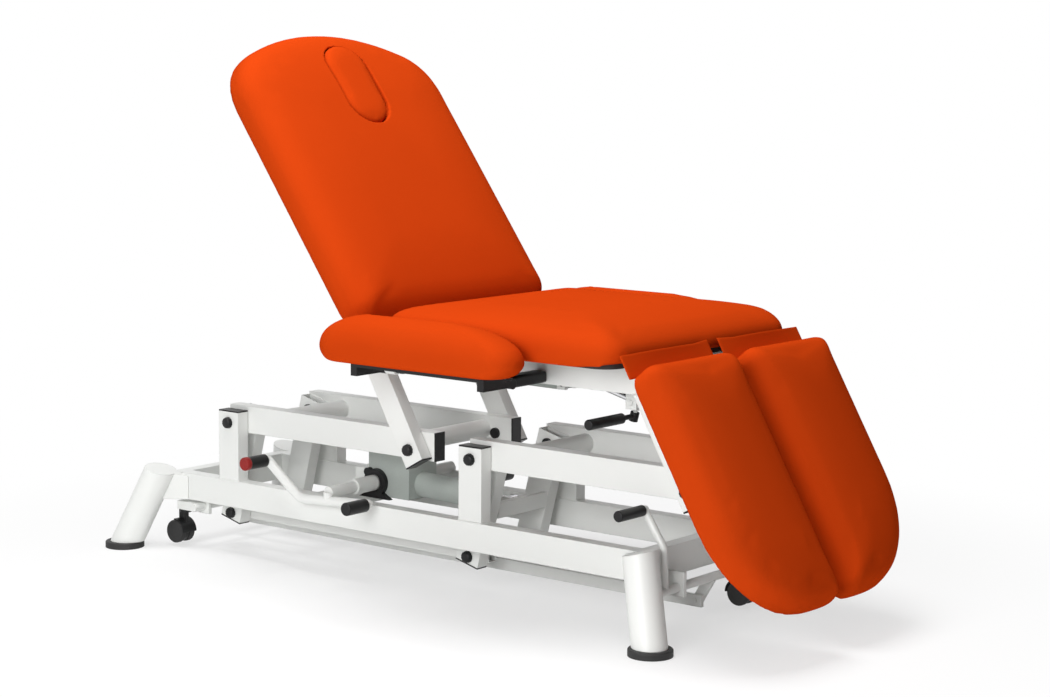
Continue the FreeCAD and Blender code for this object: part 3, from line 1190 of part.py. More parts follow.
def castor_fork(axle_x, side):
    """Castor body: stem, round top and the web between the twin wheels under a hood."""
    top = castor_place(axle_x, side)
    hub = castor_hub(axle_x, side)
    way = math.copysign(1.0, top.x - hub.x)
    half = CASTOR_WEB_T / 2.0
    disc_top = top.z - HINGE_GAP
    stem = rod(V(top.x, top.y, hub.z), V(top.x, top.y, top.z + CASTOR_ARM_H / 2.0), CASTOR_STEM_R)
    disc = rod(V(top.x, top.y, disc_top - CASTOR_DISC_T), V(top.x, top.y, disc_top), CASTOR_DISC_R)
    web = bar_y(hub.x, hub.z, hub.y - half, hub.y + half, WHEEL_R - CASTOR_HOOD_T)
    neck = box(hub.x, top.x + way * CASTOR_STEM_R, hub.y - half, hub.y + half, hub.z, disc_top)
    hood_w = half + HINGE_GAP + WHEEL_W
    hood = bar_y(hub.x, hub.z, hub.y - hood_w, hub.y + hood_w, WHEEL_R + HINGE_GAP + CASTOR_HOOD_T)
    hood = hood.cut(bar_y(hub.x, hub.z, hub.y - hood_w, hub.y + hood_w, WHEEL_R + HINGE_GAP))
    keep = box(hub.x, hub.x + way * 3 * WHEEL_R, hub.y - hood_w, hub.y + hood_w, hub.z, disc_top)
    body = stem.fuse([disc, web, neck, hood.common(keep)]).removeSplitter()
    return hole_y(body, hub.x, hub.z, hub.y - hood_w, hub.y + hood_w, CASTOR_PIN_R + PIN_CLEARANCE)


def castor_wheels(axle_x, side):
    """Twin wheels on one pin."""
    hub = castor_hub(axle_x, side)
    inner = CASTOR_WEB_T / 2.0 + HINGE_GAP
    pin = bar_y(hub.x, hub.z, hub.y - inner, hub.y + inner, CASTOR_PIN_R)
    wheels = []
    for way in (-1.0, 1.0):
        wheel = bar_y(hub.x, hub.z, hub.y + way * inner, hub.y + way * (inner + WHEEL_W), WHEEL_R)
        rims = [e for e in wheel.Edges if len(e.Vertexes) == 1 and e.Curve.TypeId == "Part::GeomCircle"]
        wheels.append(wheel.makeFillet(WHEEL_ROUND, rims))
    return pin.fuse(wheels)


def nodes():
    """Every sub-part by node name, as a solid or a list of solids."""
    parts = {
        "base_rails": base_rails() + axle_lugs(),
        "cross_beams": cross_beams(),
        "corner_legs": corner_legs(),
        "leg_boots": leg_boots(),
        "lift_posts": lift_posts(),
        "base_trim": base_trim(),
        "head_arm_frame": arm_frame(HEAD_POST_X),
        "head_arm_trim": arm_trim(HEAD_POST_X),
        "foot_arm_frame": arm_frame(FOOT_POST_X),
        "foot_arm_trim": arm_trim(FOOT_POST_X),
        "ram_bracket": ram_bracket(),
        "tie_bars": tie_bars(),
        "pump_block": pump_block(),
        "pump_cylinder": pump_cylinder(),
        "piston_rod": piston_rod(),
        "pump_ring": pump_ring(),
        "pedal_rocker": pedal_rocker(),
        "pedal_grips": pedal_grips(),
        "seat_rails": seat_rails(),
        "seat_cross_tubes": seat_cross_tubes(),
        "lift_struts": lift_struts(),
        "seat_brackets": seat_brackets(),
        "seat_trim": seat_trim(),
        "seat_board": seat_board(),
        "seat_cushion": seat_cushion(),
        "back_frame": back_frame(),
        "back_board": back_board(),
        "back_cushion": back_cushion(),
        "face_plug": face_plug(),
        "gas_cylinder": gas_cylinder(),
        "gas_rod": gas_rod(),
        "head_axle": castor_axle(HEAD_AXLE_X),
        "foot_axle": foot_axle(),
        "cam_grip": cam_grip(),
        "link_bar": link_bar(),
    }
    for name, side in SIDES.items():
        parts[f"{name}_leg_frame"] = leg_frame(side)
        parts[f"{name}_leg_board"] = leg_board(side)
        parts[f"{name}_leg_cushion"] = leg_cushion(side)
        parts[f"{name}_lock_rod"] = lock_rod(side)
        parts[f"{name}_rod_clamp"] = rod_clamp(side)
        parts[f"{name}_clamp_handle"] = clamp_handle(side)
        parts[f"{name}_armrest_pad"] = armrest_pad(side)
        parts[f"{name}_armrest_bracket"] = armrest_bracket(side)
        for end, axle_x in (("head", HEAD_AXLE_X), ("foot", FOOT_AXLE_X)):
            parts[f"{end}_{name}_castor_fork"] = castor_fork(axle_x, side)
            parts[f"{end}_{name}_castor_wheels"] = castor_wheels(axle_x, side)
    return parts


def main():
    os.makedirs("parts", exist_ok=True)
    for name, solids in nodes().items():
        shape = Part.makeCompound(solids) if isinstance(solids, list) else solids
        shape = shape.translated(V(BASE_MID_X, 0, 0))
        shape.exportStep(f"parts/{name}.step")


if __name__ == "__main__":
    main()
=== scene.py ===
"""Treatment chair: upholstery, finishes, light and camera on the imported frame."""
import json
import math

import bpy
import bmesh
import numpy as np
from mathutils import Matrix, Vector


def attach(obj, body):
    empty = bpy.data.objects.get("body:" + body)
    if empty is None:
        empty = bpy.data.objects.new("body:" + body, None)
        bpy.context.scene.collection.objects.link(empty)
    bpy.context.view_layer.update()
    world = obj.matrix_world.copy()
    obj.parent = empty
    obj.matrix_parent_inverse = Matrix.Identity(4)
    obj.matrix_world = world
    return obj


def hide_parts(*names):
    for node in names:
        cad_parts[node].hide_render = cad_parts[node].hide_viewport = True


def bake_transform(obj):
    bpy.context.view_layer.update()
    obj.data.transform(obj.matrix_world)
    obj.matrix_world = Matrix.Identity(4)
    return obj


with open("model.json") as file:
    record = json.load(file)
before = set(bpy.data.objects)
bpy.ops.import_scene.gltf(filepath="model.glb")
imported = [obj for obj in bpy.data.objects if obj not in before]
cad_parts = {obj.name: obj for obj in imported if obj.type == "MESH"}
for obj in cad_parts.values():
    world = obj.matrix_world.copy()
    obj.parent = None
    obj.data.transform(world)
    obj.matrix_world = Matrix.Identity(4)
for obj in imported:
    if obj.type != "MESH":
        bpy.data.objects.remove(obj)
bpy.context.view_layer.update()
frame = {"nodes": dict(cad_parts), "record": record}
scene = bpy.context.scene
nodes = frame["nodes"]

# Places shared with the solids, in metres. X counts from the base's middle, which stands at MID_X.
MID_X = -0.1163
SIDES = {"near": -1.0, "far": 1.0}
BACK_PIVOT_X, BACK_PIVOT_Z = 0.0076, 0.5189
LEG_PIVOT_X, LEG_PIVOT_Z = 0.6906, 0.5184
BACK_ANGLE = math.radians(54.0)
LEG_ANGLE = math.radians(60.0)
POST_X = {"head": -0.478, "foot": 0.218}
POST_HALF = 0.030
ARM_PIVOT_Z = 0.300
ARM_RUN = 0.530                                 # from a post's pivot to its strut's pivot
STRUT_LEAN = math.radians(29.5)
STRUT_HALF = 0.025
LEVER_BACK, LEVER_Z, LEVER_FACE = 0.0566, 0.081, 0.111
TUBE_INNER, TUBE_OUTER = 0.143, 0.173           # side faces of the posts, struts and rails
RAIL_TOP, SEAT_RAIL_LOW = 0.171, 0.473
BRACKET_X = {"rear": 0.120, "front": 0.400}
BRACKET_Z = 0.488
GRIP_END = (-0.329, -0.2612, 0.238)
SEAT_BASE, ARMREST_BASE = 0.534, 0.5065         # undersides of the pads above the floor
HINGED_BASE, PLUG_BASE = 0.016, 0.0274          # and above the plane of the back's or the legs' hinge

BACK_PIVOT = Vector((BACK_PIVOT_X + MID_X, 0.0, BACK_PIVOT_Z))
BACK_U = Vector((-math.cos(BACK_ANGLE), 0.0, math.sin(BACK_ANGLE)))
BACK_N = Vector((math.sin(BACK_ANGLE), 0.0, math.cos(BACK_ANGLE)))
LEG_PIVOT = Vector((LEG_PIVOT_X + MID_X, 0.0, LEG_PIVOT_Z))
LEG_U = Vector((math.cos(LEG_ANGLE), 0.0, -math.sin(LEG_ANGLE)))
LEG_N = Vector((math.sin(LEG_ANGLE), 0.0, math.cos(LEG_ANGLE)))

# A place is an origin, the direction along a pad and the direction out of its top
FLAT = (Vector((MID_X, 0.0, 0.0)), Vector((1.0, 0.0, 0.0)), Vector((0.0, 0.0, 1.0)))
BACK_PLACE = (BACK_PIVOT, BACK_U, BACK_N)
LEG_PLACE = (LEG_PIVOT, LEG_U, LEG_N)


# Finishes

def socket(group, name, kind, way, value=None):
    made = group.interface.new_socket(name=name, in_out=way, socket_type=kind)
    if value is not None:
        made.default_value = value


def surface_group():
    """Cloudy tone, fine grain, a roughness drift, softened edges and painted shading along the edges."""
    group = bpy.data.node_groups.new("surface_grain", "ShaderNodeTree")
    for name, value in (("Cloud scale", 6.0), ("Grain scale", 900.0), ("Grain mix", 0.5),
                        ("Tone spread", 0.3), ("Rough low", 0.3), ("Rough high", 0.45),
                        ("Edge radius", 0.0015), ("Edge tone", 0.0)):
        socket(group, name, "NodeSocketFloat", "INPUT", value)
    for name in ("Tone", "Roughness", "Height"):
        socket(group, name, "NodeSocketFloat", "OUTPUT")
    socket(group, "Soft normal", "NodeSocketVector", "OUTPUT")
    make = group.nodes.new
    link = group.links.new

    def maths(operation, first, second, third=None):
        node = make("ShaderNodeMath")
        node.operation = operation
        for slot_in, value in zip(node.inputs, (first, second, third)):
            if isinstance(value, float):
                slot_in.default_value = value
            elif value is not None:
                link(value, slot_in)
        return node.outputs["Value"]

    given = make("NodeGroupInput").outputs
    out = make("NodeGroupOutput").inputs
    place = make("ShaderNodeTexCoord").outputs["Object"]
    cloud = make("ShaderNodeTexNoise")
    cloud.inputs["Detail"].default_value = 4.0
    speck = make("ShaderNodeTexNoise")
    speck.inputs["Detail"].default_value = 3.0
    grain = make("ShaderNodeTexVoronoi")
    for node, scale in ((cloud, "Cloud scale"), (speck, "Grain scale"), (grain, "Grain scale")):
        link(place, node.inputs["Vector"])
        link(given[scale], node.inputs["Scale"])
    height = make("ShaderNodeMix")
    link(given["Grain mix"], height.inputs["Factor"])
    link(speck.outputs["Fac"], height.inputs["A"])
    link(grain.outputs["Distance"], height.inputs["B"])
    link(height.outputs["Result"], out["Height"])
    soft = make("ShaderNodeBevel")
    soft.samples = 4
    link(given["Edge radius"], soft.inputs["Radius"])
    link(soft.outputs["Normal"], out["Soft normal"])
    facing = make("ShaderNodeVectorMath")
    facing.operation = "DOT_PRODUCT"
    link(soft.outputs["Normal"], facing.inputs[0])
    link(make("ShaderNodeNewGeometry").outputs["Normal"], facing.inputs[1])
    # Painted edge shading: where the softened normal leaves the true one, Edge tone pushes the colour toward
    # the finish's dark colour.
    painted_edge_shading = maths("MULTIPLY", maths("SUBTRACT", 1.0, facing.outputs["Value"]), given["Edge tone"])
    mixed = maths("ADD", cloud.outputs["Fac"], speck.outputs["Fac"])
    link(maths("MULTIPLY_ADD", mixed, given["Tone spread"], painted_edge_shading), out["Tone"])
    rough = make("ShaderNodeMapRange")
    link(cloud.outputs["Fac"], rough.inputs["Value"])
    rough.inputs["From Min"].default_value = 0.3
    rough.inputs["From Max"].default_value = 0.7
    link(given["Rough low"], rough.inputs["To Min"])
    link(given["Rough high"], rough.inputs["To Max"])
    link(rough.outputs["Result"], out["Roughness"])
    return group


GRAIN = surface_group()


def finish(name, light, dark, bump, depth, metallic=0.0, specular=0.5, **values):
    """A material whose tone, gloss and relief come from the surface group."""
    material = bpy.data.materials.new(name)
    material.use_nodes = True
    tree = material.node_tree
    shader = tree.nodes["Principled BSDF"]
    grain = tree.nodes.new("ShaderNodeGroup")
    grain.node_tree = GRAIN
    for key, value in values.items():
        grain.inputs[key.replace("_", " ").capitalize()].default_value = value
    tone = tree.nodes.new("ShaderNodeMix")
    tone.data_type = "RGBA"
    tone.inputs[6].default_value = (*light, 1.0)
    tone.inputs[7].default_value = (*dark, 1.0)
    tree.links.new(grain.outputs["Tone"], tone.inputs[0])
    tree.links.new(tone.outputs[2], shader.inputs["Base Color"])
    tree.links.new(grain.outputs["Roughness"], shader.inputs["Roughness"])
    relief = tree.nodes.new("ShaderNodeBump")
    relief.inputs["Strength"].default_value = bump
    relief.inputs["Distance"].default_value = depth
    tree.links.new(grain.outputs["Height"], relief.inputs["Height"])
    tree.links.new(grain.outputs["Soft normal"], relief.inputs["Normal"])
    tree.links.new(relief.outputs["Normal"], shader.inputs["Normal"])
    shader.inputs["Metallic"].default_value = metallic
    shader.inputs["Specular IOR Level"].default_value = specular
    return material


VINYL = finish("orange_vinyl", (0.57, 0.052, 0.0048), (0.46, 0.038, 0.0034), bump=0.22, depth=0.0004,
               cloud_scale=5.0, grain_scale=700.0, grain_mix=0.7, tone_spread=0.35,
               rough_low=0.46, rough_high=0.58, specular=0.0)
# edge_tone pushes edges toward the dark colour: painted shade along the white coat's edges.
WHITE = finish("white_powder_coat", (0.84, 0.85, 0.83), (0.72, 0.74, 0.71), bump=0.12, depth=0.0003,
               cloud_scale=4.0, grain_scale=420.0, grain_mix=0.2, tone_spread=0.2,
               rough_low=0.28, rough_high=0.42, edge_radius=0.0022, edge_tone=0.6)
# edge_tone here lightens the edges, as the second colour is the lighter one: painted lighter edges on the
# black moulding and the rubber.
BLACK = finish("black_moulding", (0.006, 0.006, 0.0065), (0.014, 0.014, 0.0145), bump=0.2, depth=0.0003,
               cloud_scale=12.0, grain_scale=900.0, grain_mix=0.4, tone_spread=0.3,
               rough_low=0.32, rough_high=0.5, edge_radius=0.0015, edge_tone=1.0, specular=0.3)
RUBBER = finish("black_rubber", (0.012, 0.012, 0.012), (0.03, 0.03, 0.03), bump=0.3, depth=0.0004,
                cloud_scale=10.0, grain_scale=500.0, grain_mix=0.3, tone_spread=0.3,
                rough_low=0.6, rough_high=0.8, edge_radius=0.0015, edge_tone=1.0)
# edge_tone: painted shade along the pump's edges.
PUMP = finish("grey_pump_paint", (0.46, 0.50, 0.47), (0.34, 0.37, 0.35), bump=0.4, depth=0.0006,
              cloud_scale=9.0, grain_scale=260.0, grain_mix=0.3, tone_spread=0.35,
              rough_low=0.4, rough_high=0.6, edge_radius=0.003, edge_tone=0.5)
BRIGHT = finish("bright_rod", (0.82, 0.82, 0.84), (0.62, 0.63, 0.65), bump=0.03, depth=0.0001, metallic=1.0,
                cloud_scale=20.0, grain_scale=1500.0, grain_mix=0.2, tone_spread=0.3,
                rough_low=0.08, rough_high=0.2)
LINING = finish("dark_lining", (0.045, 0.042, 0.04), (0.02, 0.018, 0.017), bump=0.5, depth=0.0005,
                cloud_scale=8.0, grain_scale=600.0, grain_mix=0.6, tone_spread=0.5,
                rough_low=0.7, rough_high=0.9)
RED = finish("red_grip_end", (0.30, 0.014, 0.012), (0.20, 0.010, 0.008), bump=0.2, depth=0.0003,
             cloud_scale=15.0, grain_scale=700.0, grain_mix=0.3, tone_spread=0.3,
             rough_low=0.35, rough_high=0.5, specular=0.3)

SLOT_FINISH = {"white_coat": WHITE, "black_plastic": BLACK, "black_rubber": RUBBER, "pump_paint": PUMP,
               "bright_steel": BRIGHT, "board": LINING, "vinyl": VINYL, "castor_tread": RUBBER}


def dress_frame():
    """Give every solid of the frame the finish of its slot; the armrest brackets are black, like the chair's
    black fixings, and the edge of their plates under the pads is a painted shadow line.
    """
    for entry in frame["record"]["subparts"]:
        solid = nodes[entry["node"]]
        solid.data.materials.clear()
        solid.data.materials.append(SLOT_FINISH[entry["material_slot"]])
    # Black armrest brackets: partly the chair's own black fixings, partly a painted shadow line where the
    # plate edge shows under each pad.
    for which in SIDES:
        nodes[f"{which}_armrest_bracket"].data.materials[0] = BLACK


# Making pieces

def placed(name, data):
    piece = bpy.data.objects.new(name, data)
    scene.collection.objects.link(piece)
    return piece


def skin(work, rings):
    """Faces between neighbouring rings; a ring of one corner makes a point."""
    for low, high in zip(rings, rings[1:]):
        count = max(len(low), len(high))
        for k in range(count):
            after = (k + 1) % count
            if len(low) == 1:
                work.faces.new((low[0], high[after], high[k]))
            elif len(high) == 1:
                work.faces.new((low[k], low[after], high[0]))
            else:
                work.faces.new((low[k], low[after], high[after], high[k]))


def meshed(name, work):
    """The mesh of a finished form, with its faces turned outwards."""
    bmesh.ops.recalc_face_normals(work, faces=work.faces)
    mesh = bpy.data.meshes.new(name)
    work.to_mesh(mesh)
    work.free()
    return mesh


def smooth_faces(mesh):
    for face in mesh.polygons:
        face.use_smooth = True


def applied(piece):
    """Apply the piece's modifiers to its mesh."""
    view = bpy.context.evaluated_depsgraph_get()
    mesh = bpy.data.meshes.new_from_object(piece.evaluated_get(view))
    piece.modifiers.clear()
    piece.data = mesh


def corners(mesh):
    """The places of a mesh's corners, one row each."""
    flat = np.empty(len(mesh.vertices) * 3)
    mesh.vertices.foreach_get("co", flat)
    return flat.reshape(-1, 3)


# Outlines of the pads, as (along, across) pairs

LEAST_RADIUS = 0.008


def arc(centre, radius, start, end, count):
    angles = np.radians(np.linspace(start, end, count))
    return [(centre[0] + radius * math.cos(t), centre[1] + radius * math.sin(t)) for t in angles]


def even(points, count):
    """The closed line through the points, cut into equal steps."""
    line = np.array(points + points[:1])
    steps = np.hypot(*np.diff(line, axis=0).T)
    run = np.concatenate([[0.0], np.cumsum(steps)])
    marks = np.linspace(0.0, run[-1], count, endpoint=False)
    return np.column_stack([np.interp(marks, run, line[:, k]) for k in range(2)])


def rectangle(a0, a1, y0, y1, radii, inset, nose=0.0):
    """Rectangle with its own radius at each corner; nose draws the far end back."""
    r = [max(value - inset, LEAST_RADIUS) for value in radii]
    a0, a1, y0, y1 = a0 + inset, a1 - inset - nose, y0 + inset, y1 - inset
    return (arc((a0 + r[0], y0 + r[0]), r[0], 180, 270, 12)
            + arc((a1 - r[1], y0 + r[1]), r[1], 270, 360, 12)
            + arc((a1 - r[2], y1 - r[2]), r[2], 0, 90, 12)
            + arc((a0 + r[3], y1 - r[3]), r[3], 90, 180, 12))


def back_shape(inset, _):
    """Straight sides, round shoulders and a gently arched top."""
    width, shoulder, low, turn = 0.624, 0.138, 0.045, 25.0
    start, length = 0.0215, 0.720
    side = width / 2.0 - shoulder
    top_r = side / math.sin(math.radians(turn)) + shoulder
    arch = start + length - top_r
    at = arch + side / math.tan(math.radians(turn))
    half, low_r, base = width / 2.0 - inset, max(low - inset, LEAST_RADIUS), start + inset
    return (arc((base + low_r, -half + low_r), low_r, 180, 270, 10)
            + arc((at, -side), shoulder - inset, 270, 360 - turn, 14)
            + arc((arch, 0.0), top_r - inset, -turn, turn, 18)
            + arc((at, side), shoulder - inset, turn, 90, 14)
            + arc((base + low_r, half - low_r), low_r, 90, 180, 10))


def seat_shape(inset, nose):
    return rectangle(0.074, 0.678, -0.308, 0.308, (0.05, 0.048, 0.048, 0.05), inset, nose)


def seat_underside(along):
    """The pad's front is stepped up to clear the leg hinges."""
    step, start, run = 0.0125, 0.632, 0.016
    return SEAT_BASE + step * min(1.0, max(0.0, (along - start) / run))


def leg_shape(side):
    """Round outer toe; lean lets the top end grow towards the seat as the pad rises."""
    radii = (0.040, 0.028, 0.208, 0.030) if side > 0 else (0.030, 0.208, 0.028, 0.040)
    y0, y1 = (0.012, 0.311) if side > 0 else (-0.311, -0.012)
    return lambda inset, lean: rectangle(-0.004 - lean, 0.513, y0, y1, radii, inset)


def armrest_shape(side):
    """Both ends are drawn back, the rear one less."""
    rear_share = 0.62
    y0, y1 = (0.314, 0.412) if side > 0 else (-0.412, -0.314)
    return lambda inset, nose: rectangle(rear_share * nose - 0.005, 0.500, y0, y1, (0.048,) * 4, inset, nose)


def plug_shape(inset, _):
    return rectangle(0.4755, 0.6795, -0.060, 0.060, (0.059,) * 4, inset)


# Upholstery

SWELL = 0.0025          # how far the stuffing may push a cover out, and the room left for it
FIRM = 0.98             # share of a pad's height before it is stuffed
PAD_CORNERS = 180


def pad_profile(edge, crown, plateau, edge_round, nose, late=2.0, share=0.55, under=0.0):
    """Inset, height and draw-back of a pad's rings: nearly upright sides, a round edge, then a crown.

    The round edge goes in by edge_round and takes up a share of the crown, which ends at the plateau. The
    draw-back grows to nose at the top, the later the higher late is, and to under at the underside.
    """
    belly, shoulder, top = 0.40 * edge, edge + share * crown, edge + crown
    rings = [(0.0045, 0.0), (0.0015, 0.12 * edge), (0.0, belly)]
    for k in range(1, 10):
        turn = math.radians(9.0 * k)
        rings.append((edge_round * (1.0 - math.cos(turn)), belly + (shoulder - belly) * math.sin(turn)))
    inset, height = rings[-1]
    for k in range(1, 6):
        rest = (1.0 - k / 5.0) ** 2
        rings.append((inset + (plateau - inset) * k / 5.0, top - (top - height) * rest))
    profile = []
    for a, h in rings:
        above = max(0.0, (h - belly) / (top - belly))
        below = max(0.0, 1.0 - h / belly)
        profile.append((a, h, nose * above ** late + under * below ** 2))
    return profile


def pad_mesh(name, place, outline, base, rings, shrink, least=None):
    """Closed form lofted through the rings of a pad's profile, nowhere lower than least says."""
    origin, along, normal = place
    work = bmesh.new()
    made = []
    for inset, height, drawn in rings:
        ring = []
        for a, y in even(outline(inset + shrink, drawn), PAD_CORNERS):
            up = base + height * FIRM
            if least is not None:
                up = max(up, least(a))
            ring.append(work.verts.new(origin + along * a + normal * up + Vector((0.0, y, 0.0))))
        made.append(ring)
    skin(work, made)
    work.faces.new(list(reversed(made[0])))
    work.faces.new(made[-1])
    return meshed(name, work)


def stuffed(piece, voxel, cap, held):
    """Remesh the cover, let the stuffing swell it and limit how far it goes."""
    remesh = piece.modifiers.new("cover", "REMESH")
    remesh.mode = "VOXEL"
    remesh.voxel_size = voxel
    applied(piece)
    before = corners(piece.data)
    group = piece.vertex_groups.new(name="held")
    group.add([int(k) for k in np.flatnonzero(held(before))], 1.0, "REPLACE")
    cloth = piece.modifiers.new("stuffing", "CLOTH")
    cloth.settings.quality = 4
    cloth.settings.mass = 0.4
    cloth.settings.tension_stiffness = 25.0
    cloth.settings.compression_stiffness = 25.0
    cloth.settings.shear_stiffness = 12.0
    cloth.settings.bending_stiffness = 2.0
    cloth.settings.use_pressure = True
    cloth.settings.uniform_pressure_force = 4.0
    cloth.settings.vertex_group_mass = "held"
    cloth.settings.effector_weights.gravity = 0.0
    cloth.collision_settings.use_collision = False
    steps = 20
    for step in range(1, steps + 1):
        scene.frame_set(step)
    applied(piece)
    scene.frame_set(1)
    move = corners(piece.data) - before
    size = np.linalg.norm(move, axis=1, keepdims=True)
    move *= np.minimum(1.0, cap / np.maximum(size, 1e-9))
    piece.data.vertices.foreach_set("co", (before + move).ravel())
    piece.vertex_groups.clear()


def cushion(name, body, node, place, outline, base, rings, shrink=SWELL, least=None, voxel=0.006, cap=SWELL,
            last=None):
    """One upholstered pad, held where it meets its board; last is a cut made before it is covered."""
    held_depth = 0.012
    piece = placed(name, pad_mesh(name, place, outline, base, rings, shrink, least))
    origin, _, normal = place
    board = normal.dot(origin) + base
    stuffed(piece, voxel, cap, lambda points: points @ np.array(normal) < board + held_depth)
    smooth = piece.modifiers.new("soften", "SMOOTH")
    smooth.factor = 0.5
    smooth.iterations = 10
    applied(piece)
    if last is not None:
        last(piece)
    smooth_faces(piece.data)
    piece.data.materials.append(VINYL)
    fine = piece.modifiers.new("fine", "SUBSURF")
    fine.levels = 1
    fine.render_levels = 1
    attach(piece, body)
    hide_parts(node)


def face_hole(pad):
    """Cut the face hole into the back pad, a little wider than the plug."""
    room = 0.0012
    rings = [(-room, height, 0.0) for height in (-0.02, 0.05, 0.13)]
    cutter = placed("hole_cutter", pad_mesh("hole_cutter", BACK_PLACE, plug_shape, 0.0, rings, shrink=0.0))
    cut = pad.modifiers.new("face_hole", "BOOLEAN")
    cut.operation = "DIFFERENCE"
    cut.solver = "EXACT"
    cut.object = cutter
    applied(pad)
    bpy.data.objects.remove(cutter)


PLUG_RINGS = [(0.0, 0.0, 0.0), (0.0, 0.030, 0.0), (0.0, 0.066, 0.0), (0.0010, 0.072, 0.0),
              (0.0035, 0.0765, 0.0), (0.008, 0.0795, 0.0), (0.020, 0.0818, 0.0), (0.040, 0.083, 0.0)]


def upholstery():
    seat = pad_profile(0.054, 0.033, 0.170, 0.044, 0.040, late=2.6)
    cushion("seat_pad", "seat", "seat_cushion", FLAT, seat_shape, SEAT_BASE, seat, least=seat_underside)
    back = pad_profile(0.062, 0.026, 0.190, 0.052, 0.0)
    cushion("back_pad", "back", "back_cushion", BACK_PLACE, back_shape, HINGED_BASE, back, last=face_hole)
    cushion("face_plug_pad", "face_plug", "face_plug", BACK_PLACE, plug_shape, PLUG_BASE, PLUG_RINGS,
            shrink=0.0004, voxel=0.004, cap=0.001)
    leg = pad_profile(0.059, 0.024, 0.132, 0.042, 0.016, late=0.6)
    arm = pad_profile(0.062, 0.040, 0.0468, 0.0452, 0.112, late=3.0, share=0.95, under=0.034)
    for name, side in SIDES.items():
        cushion(f"{name}_leg_pad", f"{name}_leg", f"{name}_leg_cushion", LEG_PLACE, leg_shape(side),
                HINGED_BASE, leg)
        cushion(f"{name}_arm_pad", f"{name}_armrest", f"{name}_armrest_pad", FLAT, armrest_shape(side),
                ARMREST_BASE, arm)
        gap_flap(name, side)


def gap_flap(name, side):
    """Stiff vinyl strip that stands behind a leg pad's top end and closes the gap to the seat."""
    rows, columns, thick = 10, 40, 0.0028
    top, low, inner, outer = -0.044, 0.004, 0.018, 0.303
    rear, bulge, corner_curl, curl_share = 0.0165, 0.0035, 0.004, 6.0
    work = bmesh.new()
    grid = {}
    for face, shift in (("front", thick), ("rear", 0.0)):
        for r in range(rows + 1):
            for c in range(columns + 1):
                u, v = r / rows, c / columns
                curl = corner_curl * max(0.0, 1.0 - v * curl_share) * (1.0 - u)
                s = top + (low - top) * u - curl
                n = rear + shift + bulge * (1.0 - u) ** 2 * math.sin(math.pi * v)
                y = side * (inner + (outer - inner) * v)
                at = LEG_PIVOT + LEG_U * s + LEG_N * n + Vector((0.0, y, 0.0))
                grid[face, r, c] = work.verts.new(at)
    for face in ("front", "rear"):
        for r in range(rows):
            for c in range(columns):
                around = ((r, c), (r, c + 1), (r + 1, c + 1), (r + 1, c))
                work.faces.new([grid[face, i, j] for i, j in around])
    rim = ([(0, c) for c in range(columns)] + [(r, columns) for r in range(rows)]
           + [(rows, c) for c in range(columns, 0, -1)] + [(r, 0) for r in range(rows, 0, -1)])
    for (a, b), (c, d) in zip(rim, rim[1:] + rim[:1]):
        work.faces.new((grid["front", a, b], grid["front", c, d], grid["rear", c, d], grid["rear", a, b]))
    flap = placed(f"{name}_gap_flap", meshed(f"{name}_gap_flap", work))
    flap.data.materials.append(VINYL)
    smooth_faces(flap.data)
    rounded = flap.modifiers.new("rounded", "BEVEL")
    rounded.width = 0.001
    rounded.segments = 2
    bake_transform(flap)


# Fittings

def fitted(name, work, material, body):
    """Rigid piece, smooth except at its sharp edges."""
    mesh = meshed(name, work)
    smooth_faces(mesh)
    mesh.set_sharp_from_angle(angle=math.radians(40.0))
    mesh.materials.append(material)
    piece = placed(name, mesh)
    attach(piece, body)


def turned(name, profile, start, axis, body, material, lobes=0, lobe_depth=0.0):
    """Piece turned about an axis from (radius, distance) pairs, with lobes round its rim if asked."""
    axis = Vector(axis).normalized()
    across = axis.orthogonal().normalized()
    other = axis.cross(across)
    count = 64
    work = bmesh.new()
    rings = []
    for radius, along in profile:
        centre = Vector(start) + axis * along
        if radius <= 0.0:
            rings.append([work.verts.new(centre)])
            continue
        ring = []
        for k in range(count):
            turn = 2.0 * math.pi * k / count
            r = radius * (1.0 - lobe_depth * (0.5 - 0.5 * math.cos(lobes * turn)))
            at = centre + across * (r * math.cos(turn)) + other * (r * math.sin(turn))
            ring.append(work.verts.new(at))
        rings.append(ring)
    skin(work, rings)
    fitted(name, work, material, body)


COVER = [(0.0, 0.0), (0.0122, 0.0), (0.0128, 0.0006), (0.0128, 0.0020), (0.0121, 0.0026), (0.0121, 0.0072),
         (0.0112, 0.0090), (0.0088, 0.0103), (0.0048, 0.0110), (0.0, 0.0112)]


def bolt_covers():
    """Lobed caps over the pivot bolts, on both sides."""
    ends = POST_X.items()
    spots = ([(f"{end}_post", x, ARM_PIVOT_Z, TUBE_OUTER, "base") for end, x in ends]
             + [(f"{end}_strut", x + ARM_RUN, ARM_PIVOT_Z, TUBE_OUTER, "seat") for end, x in ends]
             + [("back_hinge", BACK_PIVOT_X, BACK_PIVOT_Z, TUBE_OUTER, "seat")]
             + [(f"{end}_lever", x - LEVER_BACK, LEVER_Z, LEVER_FACE, f"{end}_arms") for end, x in ends])
    for name, x, z, y, body in spots:
        for which, side in SIDES.items():
            turned(f"{which}_{name}_cover", COVER, (x + MID_X, side * y, z), (0.0, side, 0.0), body, BLACK,
                   lobes=12, lobe_depth=0.05)


SLEEVE = [(0.176, 0.80), (0.178, 0.95), (0.184, 1.0), (0.268, 1.0), (0.278, 0.95), (0.2805, 0.80)]


